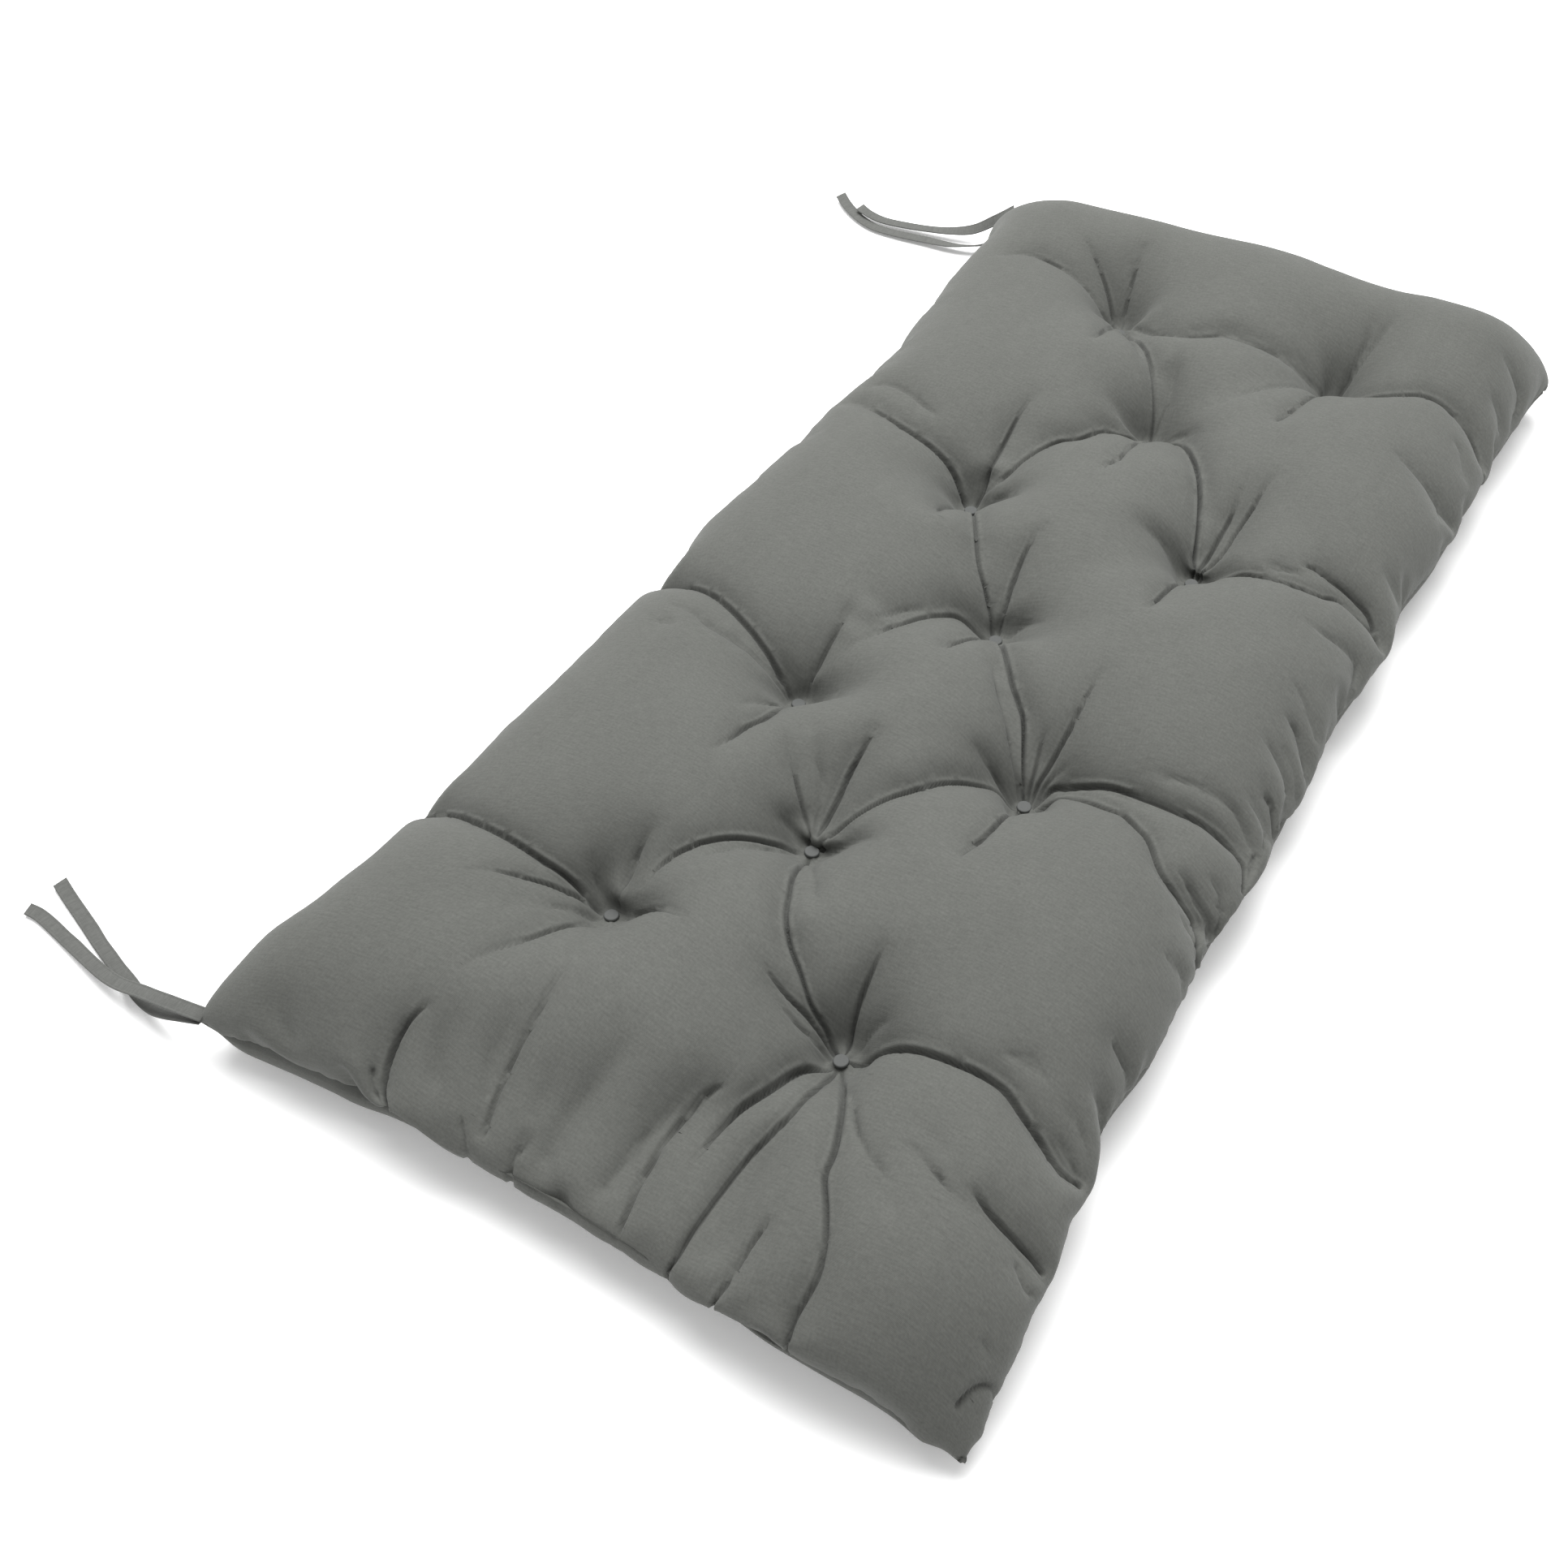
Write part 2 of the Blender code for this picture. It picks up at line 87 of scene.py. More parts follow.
def cloth(name, colour, thread, mottle, weave, sheen, folds=False):
    """Plain woven cloth, laid out by the piece's UVs, which are metres of flat cloth. thread is the pitch of the weave.
    With folds, painted shade darkens the colour along the bottom of each fold.
    """
    mat = bpy.data.materials.new(name)
    mat.use_nodes = True
    tree = mat.node_tree
    node, link = tree.nodes.new, tree.links.new
    shader = tree.nodes["Principled BSDF"]
    shader.inputs["Roughness"].default_value = 0.88
    shader.inputs["Specular IOR Level"].default_value = 0.15
    shader.inputs["Sheen Weight"].default_value = sheen
    shader.inputs["Sheen Roughness"].default_value = 0.45
    shader.inputs["Sheen Tint"].default_value = (0.80, 0.82, 0.80, 1.0)
    where = node("ShaderNodeTexCoord")

    # slow patches and fine flecks in the dye
    patches = node("ShaderNodeTexNoise")
    patches.inputs["Scale"].default_value = 24.0
    patches.inputs["Detail"].default_value = 3.0
    flecks = node("ShaderNodeTexNoise")
    flecks.inputs["Scale"].default_value = 560.0
    flecks.inputs["Detail"].default_value = 4.0
    # slubs: threads a little thicker than the rest, long one way
    slub_map = node("ShaderNodeMapping")
    slub_map.inputs["Scale"].default_value = (30.0, 700.0, 1.0)
    slubs = node("ShaderNodeTexNoise")
    slubs.inputs["Scale"].default_value = 1.0
    slubs.inputs["Detail"].default_value = 2.0
    slub_map_2 = node("ShaderNodeMapping")
    slub_map_2.inputs["Scale"].default_value = (820.0, 105.0, 1.0)
    slubs_2 = node("ShaderNodeTexNoise")
    slubs_2.inputs["Scale"].default_value = 1.0
    slubs_2.inputs["Detail"].default_value = 2.0
    for n in (patches, flecks, slub_map, slub_map_2):
        link(where.outputs["UV"], n.inputs["Vector"])
    link(slub_map.outputs["Vector"], slubs.inputs["Vector"])
    link(slub_map_2.outputs["Vector"], slubs_2.inputs["Vector"])

    def ramp(source, low, high, spread):
        r = node("ShaderNodeValToRGB")
        r.color_ramp.elements[0].position = 0.5 - spread
        r.color_ramp.elements[1].position = 0.5 + spread
        r.color_ramp.elements[0].color = low
        r.color_ramp.elements[1].color = high
        link(source, r.inputs["Fac"])
        return r.outputs["Color"]

    def multiply(a, b):
        m = node("ShaderNodeMix")
        m.data_type = "RGBA"
        m.blend_type = "MULTIPLY"
        m.inputs["Factor"].default_value = 1.0
        link(a, m.inputs[6])
        link(b, m.inputs[7])
        return m.outputs[2]

    base = ramp(patches.outputs["Fac"], shade(colour, 1 - mottle), shade(colour, 1 + mottle), 0.22)
    grain = ramp(flecks.outputs["Fac"], shade((1, 1, 1), 1 - mottle * 2.6), shade((1, 1, 1), 1 + mottle * 2.6), 0.20)
    lines = ramp(slubs.outputs["Fac"], shade((1, 1, 1), 1 - mottle * 0.7), shade((1, 1, 1), 1 + mottle * 0.7), 0.25)
    lines_2 = ramp(slubs_2.outputs["Fac"], shade((1, 1, 1), 1 - mottle * 2.5), shade((1, 1, 1), 1 + mottle), 0.16)
    colour_out = multiply(multiply(multiply(base, grain), lines), lines_2)
    if folds:  # painted shade: darkens the colour along the bottom of each fold, where little light comes back out
        deep = node("ShaderNodeAttribute")
        deep.attribute_name = "fold"
        fold_shade = node("ShaderNodeValToRGB")
        fold_shade.color_ramp.elements[0].position = 0.20
        fold_shade.color_ramp.elements[1].position = 1.0
        fold_shade.color_ramp.elements[0].color = (1.0, 1.0, 1.0, 1.0)
        fold_shade.color_ramp.elements[1].color = (0.30, 0.30, 0.31, 1.0)
        link(deep.outputs["Fac"], fold_shade.inputs["Fac"])
        colour_out = multiply(colour_out, fold_shade.outputs["Color"])
    link(colour_out, shader.inputs["Base Color"])

    # the weave itself: two sets of threads, over and under
    warp = node("ShaderNodeTexWave")
    warp.wave_type, warp.bands_direction, warp.wave_profile = "BANDS", "X", "SIN"
    weft = node("ShaderNodeTexWave")
    weft.wave_type, weft.bands_direction, weft.wave_profile = "BANDS", "Y", "SIN"
    for w in (warp, weft):
        w.inputs["Scale"].default_value = 0.314 / thread
        w.inputs["Distortion"].default_value = 0.6
        w.inputs["Detail"].default_value = 1.0
        link(where.outputs["UV"], w.inputs["Vector"])
    over = node("ShaderNodeMath")
    over.operation = "MULTIPLY"
    link(warp.outputs["Fac"], over.inputs[0])
    link(weft.outputs["Fac"], over.inputs[1])
    fine = node("ShaderNodeBump")
    fine.inputs["Strength"].default_value = weave
    fine.inputs["Distance"].default_value = 0.00012
    link(over.outputs["Value"], fine.inputs["Height"])
    # and the small unevenness of cloth that has been packed and unpacked
    rumple = node("ShaderNodeTexNoise")
    rumple.inputs["Scale"].default_value = 85.0
    rumple.inputs["Detail"].default_value = 3.0
    link(where.outputs["UV"], rumple.inputs["Vector"])
    soft = node("ShaderNodeBump")
    soft.inputs["Strength"].default_value = 0.35
    soft.inputs["Distance"].default_value = 0.0008
    link(rumple.outputs["Fac"], soft.inputs["Height"])
    link(fine.outputs["Normal"], soft.inputs["Normal"])
    link(soft.outputs["Normal"], shader.inputs["Normal"])
    return mat


def smooth_solid(name, colour, roughness, mottle, scale):
    """A hard or corded small part, in object space."""
    mat = bpy.data.materials.new(name)
    mat.use_nodes = True
    tree = mat.node_tree
    shader = tree.nodes["Principled BSDF"]
    shader.inputs["Roughness"].default_value = roughness
    where = tree.nodes.new("ShaderNodeTexCoord")
    noise = tree.nodes.new("ShaderNodeTexNoise")
    noise.inputs["Scale"].default_value = scale
    ramp = tree.nodes.new("ShaderNodeValToRGB")
    ramp.color_ramp.elements[0].color = shade(colour, 1 - mottle)
    ramp.color_ramp.elements[1].color = shade(colour, 1 + mottle)
    tree.links.new(where.outputs["Object"], noise.inputs["Vector"])
    tree.links.new(noise.outputs["Fac"], ramp.inputs["Fac"])
    tree.links.new(ramp.outputs["Color"], shader.inputs["Base Color"])
    return mat


COVER_CLOTH = cloth("cover_cloth", COVER_GREY, 0.00055, 0.034, 0.5, 0.13, folds=True)
TAPE_CLOTH = cloth("tape_cloth", TAPE_GREY, 0.00050, 0.035, 0.5, 0.13)
BUTTON_FACE = smooth_solid("button_face", (0.064, 0.067, 0.0645), 0.75, 0.10, 900.0)
THREAD = smooth_solid("thread", (0.019, 0.019, 0.019), 0.8, 0.2, 1500.0)

# ---- ties: the same routes as the CAD ties ----
TIE_WIDTH = 0.0098
TIE_THICKNESS = 0.0014
TIE_SEWN_IN = 0.007  # how much of a tie is inside the seam
TIE_STEP = 0.0022
TIES = {
    "near_upper": (
        (-0.4986, 0.2600, 0.0322, 10),
        (-0.4991, 0.2746, 0.0290, 10),
        (-0.4988, 0.2918, 0.0240, 8),
        (-0.4981, 0.3105, 0.0180, 4),
        (-0.4979, 0.3290, 0.0120, 2),
        (-0.4963, 0.3434, 0.0085, 0),
        (-0.4931, 0.3591, 0.0060, 0),
        (-0.4861, 0.3893, 0.0026, 0),
        (-0.4801, 0.4189, 0.0018, -2),
        (-0.4805, 0.4313, 0.0022, -6),
    ),
    "near_lower": (
        (-0.4996, 0.2610, 0.0262, -14),
        (-0.5009, 0.2731, 0.0215, -14),
        (-0.5015, 0.2854, 0.0160, -12),
        (-0.5006, 0.2994, 0.0105, -8),
        (-0.4964, 0.3156, 0.0060, -4),
        (-0.4898, 0.3332, 0.0036, 0),
        (-0.4834, 0.3527, 0.0022, 0),
        (-0.4759, 0.3732, 0.0014, 0),
        (-0.4695, 0.3895, 0.0014, 0),
        (-0.4602, 0.4140, 0.0018, 0),
        (-0.4539, 0.4297, 0.0026, 0),
    ),
    "far_upper": (
        (0.5041, 0.2481, 0.0365, 40),
        (0.5035, 0.2610, 0.0255, 50),
        (0.5013, 0.2789, 0.0130, 30),
        (0.4960, 0.2977, 0.0085, 10),
        (0.4914, 0.3197, 0.0062, 0),
        (0.4873, 0.3446, 0.0052, 0),
        (0.4853, 0.3635, 0.0054, 0),
        (0.4874, 0.3786, 0.0064, 0),
        (0.4914, 0.3893, 0.0072, 4),
    ),
    "far_lower": (
        (0.4965, 0.2490, 0.0275, 0),
        (0.4928, 0.2560, 0.0170, -24),
        (0.4887, 0.2627, 0.0095, -34),
        (0.4825, 0.2781, 0.0068, -26),
        (0.4794, 0.2933, 0.0052, -10),
        (0.4780, 0.3146, 0.0040, 0),
        (0.4756, 0.3379, 0.0032, 0),
        (0.4748, 0.3574, 0.0028, 0),
        (0.4767, 0.3710, 0.0028, 0),
        (0.4823, 0.3858, 0.0032, 0),
        (0.4920, 0.4024, 0.0042, 4),
        (0.5031, 0.4163, 0.0054, 8),
    ),
}
# The tape's section, as shares of half its width and of half its thickness: folded edges a little fuller than the
# middle, and a shallow valley beside each where the stitching runs.
TIE_SECTION = [
    (-1.00, 0.00),
    (-0.97, 0.62),
    (-0.88, 0.95),
    (-0.76, 0.86),
    (-0.68, 0.62),
    (-0.58, 0.74),
    (-0.30, 0.80),
    (0.00, 0.82),
    (0.30, 0.80),
    (0.58, 0.74),
    (0.68, 0.62),
    (0.76, 0.86),
    (0.88, 0.95),
    (0.97, 0.62),
    (1.00, 0.00),
]
TIE_SECTION += [(x, -y) for x, y in reversed(TIE_SECTION[1:-1])]


def through(rows, at):
    """Catmull-Rom through rows of equal length, at a parameter from 0 to len(rows) - 1."""
    last = len(rows) - 1
    i = min(int(at), last - 1)
    t = at - i
    p = [rows[min(max(k, 0), last)] for k in (i - 1, i, i + 1, i + 2)]
    return [
        0.5 * (2 * b + (c - a) * t + (2 * a - 5 * b + 4 * c - d) * t * t + (3 * b - a - 3 * c + d) * t**3)
        for a, b, c, d in zip(*p)
    ]


def even_points(rows, step):
    """Points a step apart on a smooth curve through the rows, the last row among them."""
    fine = np.array([through(rows, k / 60) for k in range(60 * (len(rows) - 1) + 1)])
    walked = np.concatenate([[0], np.cumsum(np.linalg.norm(np.diff(fine[:, :3], axis=0), axis=1))])
    count = max(2, int(round(walked[-1] / step)) + 1)
    at = np.linspace(0, walked[-1], count)
    return np.stack([np.interp(at, walked, fine[:, k]) for k in range(fine.shape[1])], 1), walked[-1]


def mesh_object(name, verts, faces, mat, uv=None):
    mesh = bpy.data.meshes.new(name)
    mesh.from_pydata([tuple(v) for v in verts], [], faces)
    mesh.update()
    if uv is not None:
        index = np.zeros(len(mesh.loops), np.int32)
        mesh.loops.foreach_get("vertex_index", index)
        layer = mesh.uv_layers.new(name="cloth")
        layer.data.foreach_set("uv", np.asarray(uv, np.float32)[index].ravel())
    mesh.materials.append(mat)
    obj = bpy.data.objects.new(name, mesh)
    bpy.context.scene.collection.objects.link(obj)
    return obj


def build_tie(name, rows):
    points, length = even_points(rows, TIE_STEP)
    at = points[:, :3]
    along = np.gradient(at, axis=0)
    along /= np.linalg.norm(along, axis=1)[:, None]
    up = np.array([0.0, 0.0, 1.0])
    across = np.cross(along, up)
    across /= np.linalg.norm(across, axis=1)[:, None]
    over = np.cross(across, along)
    roll = np.radians(points[:, 3])[:, None]
    a = across * np.cos(roll) + over * np.sin(roll)
    o = -across * np.sin(roll) + over * np.cos(roll)
    at = at.copy()
    at[0] -= along[0] * TIE_SEWN_IN
    rng = np.random.default_rng(len(name) * 7 + int(abs(rows[0][0] * 1000)) + int(rows[0][2] * 1e4))
    n = len(at)
    # cloth cut by hand: the width and the two edges wander a little
    wander = np.interp(np.arange(n), np.linspace(0, n, n // 6 + 2), rng.standard_normal(n // 6 + 2)) * 0.00016
    verts, uv = [], []
    shares = np.array(TIE_SECTION)
    m = len(shares)
    flat = np.array([abs(k if k < 15 else 28 - k) / 14 for k in range(m)])
    for k in range(n):
        half = TIE_WIDTH / 2 + wander[k] * 0.5
        cut = 0.0009 * (1 if k == n - 1 else 0)
        for (x, y), f in zip(shares, flat):
            v = at[k] + a[k] * x * half + o[k] * y * TIE_THICKNESS / 2 + a[k] * wander[k] * 0.4
            v = v + along[k] * cut * x
            verts.append(v)
            uv.append((k * length / (n - 1), f * TIE_WIDTH))
    faces = []
    for k in range(n - 1):
        for s in range(m):
            t = (s + 1) % m
            faces.append((k * m + s, k * m + t, (k + 1) * m + t, (k + 1) * m + s))
    for k, flip in ((0, False), (n - 1, True)):
        ring = [k * m + s for s in range(m)]
        # the cap is a strip of quads from one face of the tape to the other
        for s in range(14):
            p, q, r, t = ring[s], ring[s + 1], ring[(m - s - 1) % m], ring[(m - s) % m]
            face = [p, q, r, t] if len({p, q, r, t}) == 4 else [x for x in dict.fromkeys((p, q, r, t))]
            faces.append(tuple(face if flip else reversed(face)))
    tie = mesh_object("tie_" + name, verts, faces, TAPE_CLOTH, uv)
    tie.data.shade_smooth()
    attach(tie, "root")
    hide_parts("tie_" + name)
    return tie


for tie_name, tie_rows in TIES.items():
    built = build_tie(tie_name, tie_rows)
    built.name = "tape_" + tie_name

# ---- the cover: where the seam, the tufts and the creases are ----
CORNERS = {
    ("near", "tied"): (-0.5005, 0.2565, 0.030),
    ("near", "open"): (-0.4990, -0.2545, 0.014),
    ("far", "open"): (0.503, -0.224, 0.030),
    ("far", "tied"): (0.503, 0.247, 0.034),
}
# How far the seam is drawn in from the straight line between two corners; from the near end, or from the tied side.
INSET_AT = (0, 0.05, 0.10, 0.15, 0.20, 0.26, 0.32, 0.38, 0.44, 0.50, 0.56, 0.62, 0.68, 0.74, 0.80, 0.86, 0.92, 0.96, 1)
INSET = {  # millimetres
    "near": (0, 3, 6, 8.3, 10.5, 11, 10, 8, 6, 5, 4.5, 3, 2, 2, 1.6, 1.1, 0.9, 0.5, 0),
    "far": (0, 8, 6, 0, 0, -1.3, -4.5, -3, -6.5, -9.5, -9, -3, 1.5, 2, -6, -7, -9, -7, 0),
    "tied": (0, 4.5, 17, 25, 28, 25, 27, 28, 32.5, 22, 25.5, 30, 32, 31.5, 25.5, 21.5, 20.5, 8.5, 0),
    "open": (0, 1.8, 5.8, 13, 20, 13, 16.5, 15, 12, 14.5, 14.5, 11.7, 13.5, 7.5, 8, 11, 6.2, 4, 0),
}
SEAM_Z = 0.036
CROWN_Z = 0.0975
# The filling isn't even: where the crown is higher or lower than CROWN_Z. Middle x, y, reach along x and y, height.
CROWN_SHIFTS = (
    (0.00, 0.235, 3.0, 0.080, -0.006),
    (0.47, 0.00, 0.09, 3.0, 0.005),
    (0.46, -0.14, 0.10, 0.12, 0.004),
)
ROUND_END, ROUND_SIDE, ROUND_UNDER = 0.078, 0.074, 0.052
LENGTH, WIDTH = 1.006, 0.508
TUFTS = (  # name, row, column, x, y
    ("1_open", 0, -1, -0.341, -0.089),
    ("1_tied", 0, 1, -0.321, 0.084),
    ("1_middle", 1, 0, -0.216, 0.007),
    ("2_open", 2, -1, -0.116, -0.088),
    ("2_tied", 2, 1, -0.110, 0.082),
    ("2_middle", 3, 0, 0.010, -0.001),
    ("3_open", 4, -1, 0.130, -0.091),
    ("3_tied", 4, 1, 0.123, 0.079),
    ("3_middle", 5, 0, 0.256, 0.000),
    ("4_open", 6, -1, 0.372, -0.097),
    ("4_tied", 6, 1, 0.377, 0.082),
)
ROW_PITCH, COLUMN_PITCH = 0.1172, 0.0860
TUFT_TOP_Z, TUFT_UNDER_Z = 0.0460, 0.010
TUFT_REACH = 0.028
TUFT_HELD = 0.0042  # radius of the cloth held flat under a button

TROUGH_DEPTH, TROUGH_HALF_WIDTH = 0.0065, 0.0080  # hollow between neighbouring tufts
OUT_DEPTH, OUT_HALF_WIDTH = 0.0042, 0.0075  # the same, along the strong creases that run out to the seam
GROOVE_DEPTH = 0.0012  # narrow crease, at strength 1, as the simulation has it
FOLD_DEPTH, FOLD_RIDGE = 0.0040, 0.34  # the sharp fold at its bottom, and the raised cloth beside it as a share

HOLLOW_DEPTH, HOLLOW_REACH = 0.0030, 0.0050  # the hollow in the filling round a fold
HANG = 0.0045  # how far the underside stands out past the seam, near one corner

Crease = namedtuple("Crease", "name strength width_mm points")
CREASES = (
    Crease("t8_left", 1.0, 5, ((0.123, 0.079), (0.137, 0.103), (0.144, 0.140), (0.151, 0.173), (0.159, 0.200))),
    Crease("t8_left2", 0.5, 4, ((0.161, 0.127), (0.169, 0.146), (0.176, 0.164), (0.180, 0.183), (0.174, 0.198))),
    Crease("t8_up", 0.9, 4, ((0.123, 0.079), (0.153, 0.078), (0.192, 0.080), (0.225, 0.078))),
    Crease("t8_t9", 0.9, 6, ((0.133, 0.081), (0.147, 0.066), (0.166, 0.059), (0.188, 0.048), (0.203, 0.034), (0.225, 0.025), (0.236, 0.013), (0.256, 0.000))),
    Crease("t8_t6", 0.9, 4, ((0.123, 0.079), (0.052, 0.037), (0.028, 0.016), (0.010, -0.001))),
    Crease("t8_low", 0.7, 4, ((0.123, 0.079), (0.086, 0.082), (0.056, 0.076))),
    Crease("t8_right", 0.4, 5, ((0.123, 0.079), (0.132, 0.058), (0.121, 0.036))),
    Crease("t6_up", 0.9, 4, ((0.010, -0.001), (0.037, 0.004), (0.065, 0.007), (0.089, 0.003))),
    Crease("t6_left", 0.8, 6, ((0.010, -0.001), (0.004, 0.023), (-0.008, 0.032), (-0.027, 0.041), (-0.049, 0.048), (-0.069, 0.059), (-0.087, 0.070))),
    Crease("t6_left2", 0.4, 4, ((-0.012, 0.040), (-0.034, 0.054), (-0.057, 0.059))),
    Crease("t6_low", 0.8, 4, ((0.010, -0.001), (-0.033, 0.006), (-0.057, 0.008))),
    Crease("t6_right", 0.4, 5, ((0.010, -0.001), (0.021, -0.015), (0.016, -0.034))),
    Crease("t6_t4", 1.0, 5, ((0.010, -0.001), (-0.043, -0.038), (-0.060, -0.053), (-0.070, -0.062), (-0.094, -0.076), (-0.116, -0.088))),
    Crease("t6_t4b", 0.6, 4, ((-0.033, -0.019), (-0.060, -0.039), (-0.081, -0.058), (-0.098, -0.072), (-0.116, -0.088))),
    Crease("t9_t7", 1.0, 6, ((0.256, 0.000), (0.258, -0.014), (0.249, -0.029), (0.232, -0.042), (0.212, -0.055), (0.190, -0.067), (0.170, -0.076), (0.155, -0.082), (0.130, -0.091))),
    Crease("t9_right", 0.3, 5, ((0.256, 0.000), (0.263, -0.018), (0.255, -0.041))),
    Crease("t9_up2", 0.6, 4, ((0.256, 0.000), (0.285, 0.001), (0.312, 0.009), (0.335, 0.017))),
    Crease("t9_low", 0.8, 4, ((0.256, 0.000), (0.190, -0.005), (0.158, 0.000))),
    Crease("t11_hook", 0.6, 4, ((0.377, 0.082), (0.318, 0.074), (0.295, 0.073))),
    Crease("t11_up", 0.8, 4, ((0.377, 0.082), (0.398, 0.106), (0.422, 0.140))),
    Crease("t11_up2", 0.7, 4, ((0.377, 0.082), (0.408, 0.089), (0.441, 0.093))),
    Crease("t11_t9a", 0.6, 4, ((0.377, 0.082), (0.330, 0.050), (0.303, 0.030))),
    Crease("t11_t9", 0.8, 4, ((0.377, 0.082), (0.318, 0.034), (0.300, 0.021), (0.286, 0.012), (0.273, 0.005), (0.256, 0.000))),
    Crease("t11_left", 0.7, 5, ((0.377, 0.082), (0.386, 0.121), (0.387, 0.148), (0.383, 0.175), (0.366, 0.191))),
    Crease("t11_t10", 0.6, 7, ((0.377, 0.082), (0.352, 0.027), (0.363, -0.009), (0.365, -0.045), (0.368, -0.080), (0.372, -0.097))),
    Crease("t10_up", 0.7, 4, ((0.372, -0.097), (0.396, -0.105), (0.417, -0.112), (0.437, -0.118))),
    Crease("t10_up2", 0.6, 4, ((0.372, -0.097), (0.395, -0.102), (0.412, -0.104), (0.431, -0.100))),
    Crease("t10_right", 0.8, 5, ((0.372, -0.097), (0.362, -0.125), (0.362, -0.145), (0.367, -0.165), (0.368, -0.183), (0.364, -0.202), (0.356, -0.216), (0.344, -0.227))),
    Crease("t10_left", 0.4, 6, ((0.372, -0.097), (0.344, -0.081), (0.312, -0.063), (0.291, -0.046), (0.269, -0.026))),
    Crease("t10_low", 0.8, 4, ((0.372, -0.097), (0.291, -0.090), (0.267, -0.087))),
    Crease("far_corner", 0.5, 4, ((0.442, -0.195), (0.438, -0.213), (0.433, -0.221), (0.412, -0.225))),
    Crease("far_corner2", 0.4, 3, ((0.401, -0.204), (0.399, -0.215), (0.390, -0.222))),
    Crease("right_far", 0.5, 5, ((0.282, -0.171), (0.278, -0.187), (0.276, -0.204), (0.274, -0.216), (0.277, -0.225))),
    Crease("t7_right", 1.0, 4, ((0.130, -0.091), (0.133, -0.102), (0.131, -0.117), (0.129, -0.132), (0.128, -0.148), (0.127, -0.165), (0.129, -0.181), (0.137, -0.191), (0.137, -0.206), (0.136, -0.221), (0.129, -0.229))),
    Crease("t7_mid", 0.5, 3, ((0.138, -0.134), (0.137, -0.149), (0.137, -0.161), (0.136, -0.174))),
    Crease("t7_right2", 0.8, 4, ((0.143, -0.158), (0.147, -0.169), (0.147, -0.182), (0.147, -0.196), (0.145, -0.210), (0.139, -0.219))),
    Crease("t7_up", 0.9, 4, ((0.130, -0.091), (0.151, -0.101), (0.168, -0.103), (0.187, -0.106), (0.205, -0.108), (0.221, -0.113))),
    Crease("t7_up2", 0.8, 4, ((0.130, -0.091), (0.153, -0.094), (0.173, -0.095), (0.189, -0.095), (0.213, -0.094))),
    Crease("t7_left", 0.3, 5, ((0.130, -0.091), (0.135, -0.062), (0.128, -0.046))),
    Crease("t7_low", 0.9, 4, ((0.130, -0.091), (0.067, -0.093), (0.038, -0.093))),
    Crease("t4_right", 1.0, 5, ((-0.116, -0.088), (-0.105, -0.102), (-0.105, -0.118), (-0.109, -0.139), (-0.110, -0.151), (-0.119, -0.165), (-0.126, -0.175), (-0.144, -0.192), (-0.149, -0.208), (-0.153, -0.221), (-0.175, -0.234))),
    Crease("t4_right2", 0.9, 5, ((-0.116, -0.088), (-0.098, -0.096), (-0.095, -0.106), (-0.094, -0.120), (-0.093, -0.138), (-0.093, -0.157), (-0.093, -0.175), (-0.091, -0.195), (-0.091, -0.213), (-0.093, -0.222), (-0.097, -0.228), (-0.113, -0.235))),
    Crease("t4_right3", 0.5, 4, ((-0.083, -0.141), (-0.078, -0.164), (-0.074, -0.187), (-0.072, -0.201), (-0.073, -0.211), (-0.082, -0.225))),
    Crease("t4_right4", 0.6, 3, ((-0.135, -0.194), (-0.140, -0.210), (-0.143, -0.221), (-0.145, -0.229), (-0.158, -0.233))),
    Crease("t4_right5", 0.5, 3, ((-0.134, -0.226), (-0.133, -0.230), (-0.146, -0.231))),
    Crease("t4_upright", 0.9, 4, ((-0.116, -0.088), (-0.092, -0.089), (-0.069, -0.092), (-0.041, -0.093), (-0.015, -0.094))),
    Crease("t4_upright2", 0.5, 4, ((-0.116, -0.088), (-0.093, -0.094), (-0.086, -0.101), (-0.079, -0.108))),
    Crease("t4_up3", 0.7, 4, ((-0.116, -0.088), (-0.092, -0.083), (-0.078, -0.079), (-0.064, -0.077))),
    Crease("t4_left", 0.6, 5, ((-0.116, -0.088), (-0.110, -0.062), (-0.109, -0.046))),
    Crease("t4_low", 1.0, 4, ((-0.116, -0.088), (-0.170, -0.093), (-0.196, -0.091), (-0.213, -0.091))),
    Crease("t5_upleft", 0.9, 5, ((-0.110, 0.082), (-0.104, 0.101), (-0.097, 0.119), (-0.086, 0.145), (-0.077, 0.168), (-0.070, 0.192), (-0.067, 0.214), (-0.065, 0.231))),
    Crease("t5_upleft2", 0.6, 4, ((-0.110, 0.082), (-0.108, 0.118), (-0.109, 0.147), (-0.105, 0.168), (-0.105, 0.189))),
    Crease("t5_left3", 0.4, 4, ((-0.120, 0.168), (-0.127, 0.186))),
    Crease("t5_up", 0.8, 4, ((-0.110, 0.082), (-0.084, 0.078), (-0.062, 0.077), (-0.032, 0.075))),
    Crease("t5_right", 0.4, 5, ((-0.110, 0.082), (-0.106, 0.062), (-0.117, 0.034))),
    Crease("t5_low", 0.9, 4, ((-0.110, 0.082), (-0.153, 0.077), (-0.174, 0.080), (-0.192, 0.080), (-0.213, 0.083))),
    Crease("t5_left", 0.6, 4, ((-0.110, 0.082), (-0.133, 0.085), (-0.166, 0.096))),
    Crease("t3_up", 0.7, 4, ((-0.216, 0.007), (-0.187, 0.036), (-0.165, 0.057))),
    Crease("t3_up2", 0.5, 4, ((-0.216, 0.007), (-0.184, 0.019), (-0.170, 0.032), (-0.144, 0.049))),
    Crease("t3_upright", 1.0, 4, ((-0.216, 0.007), (-0.189, 0.007), (-0.167, 0.008), (-0.146, 0.007), (-0.135, 0.007))),
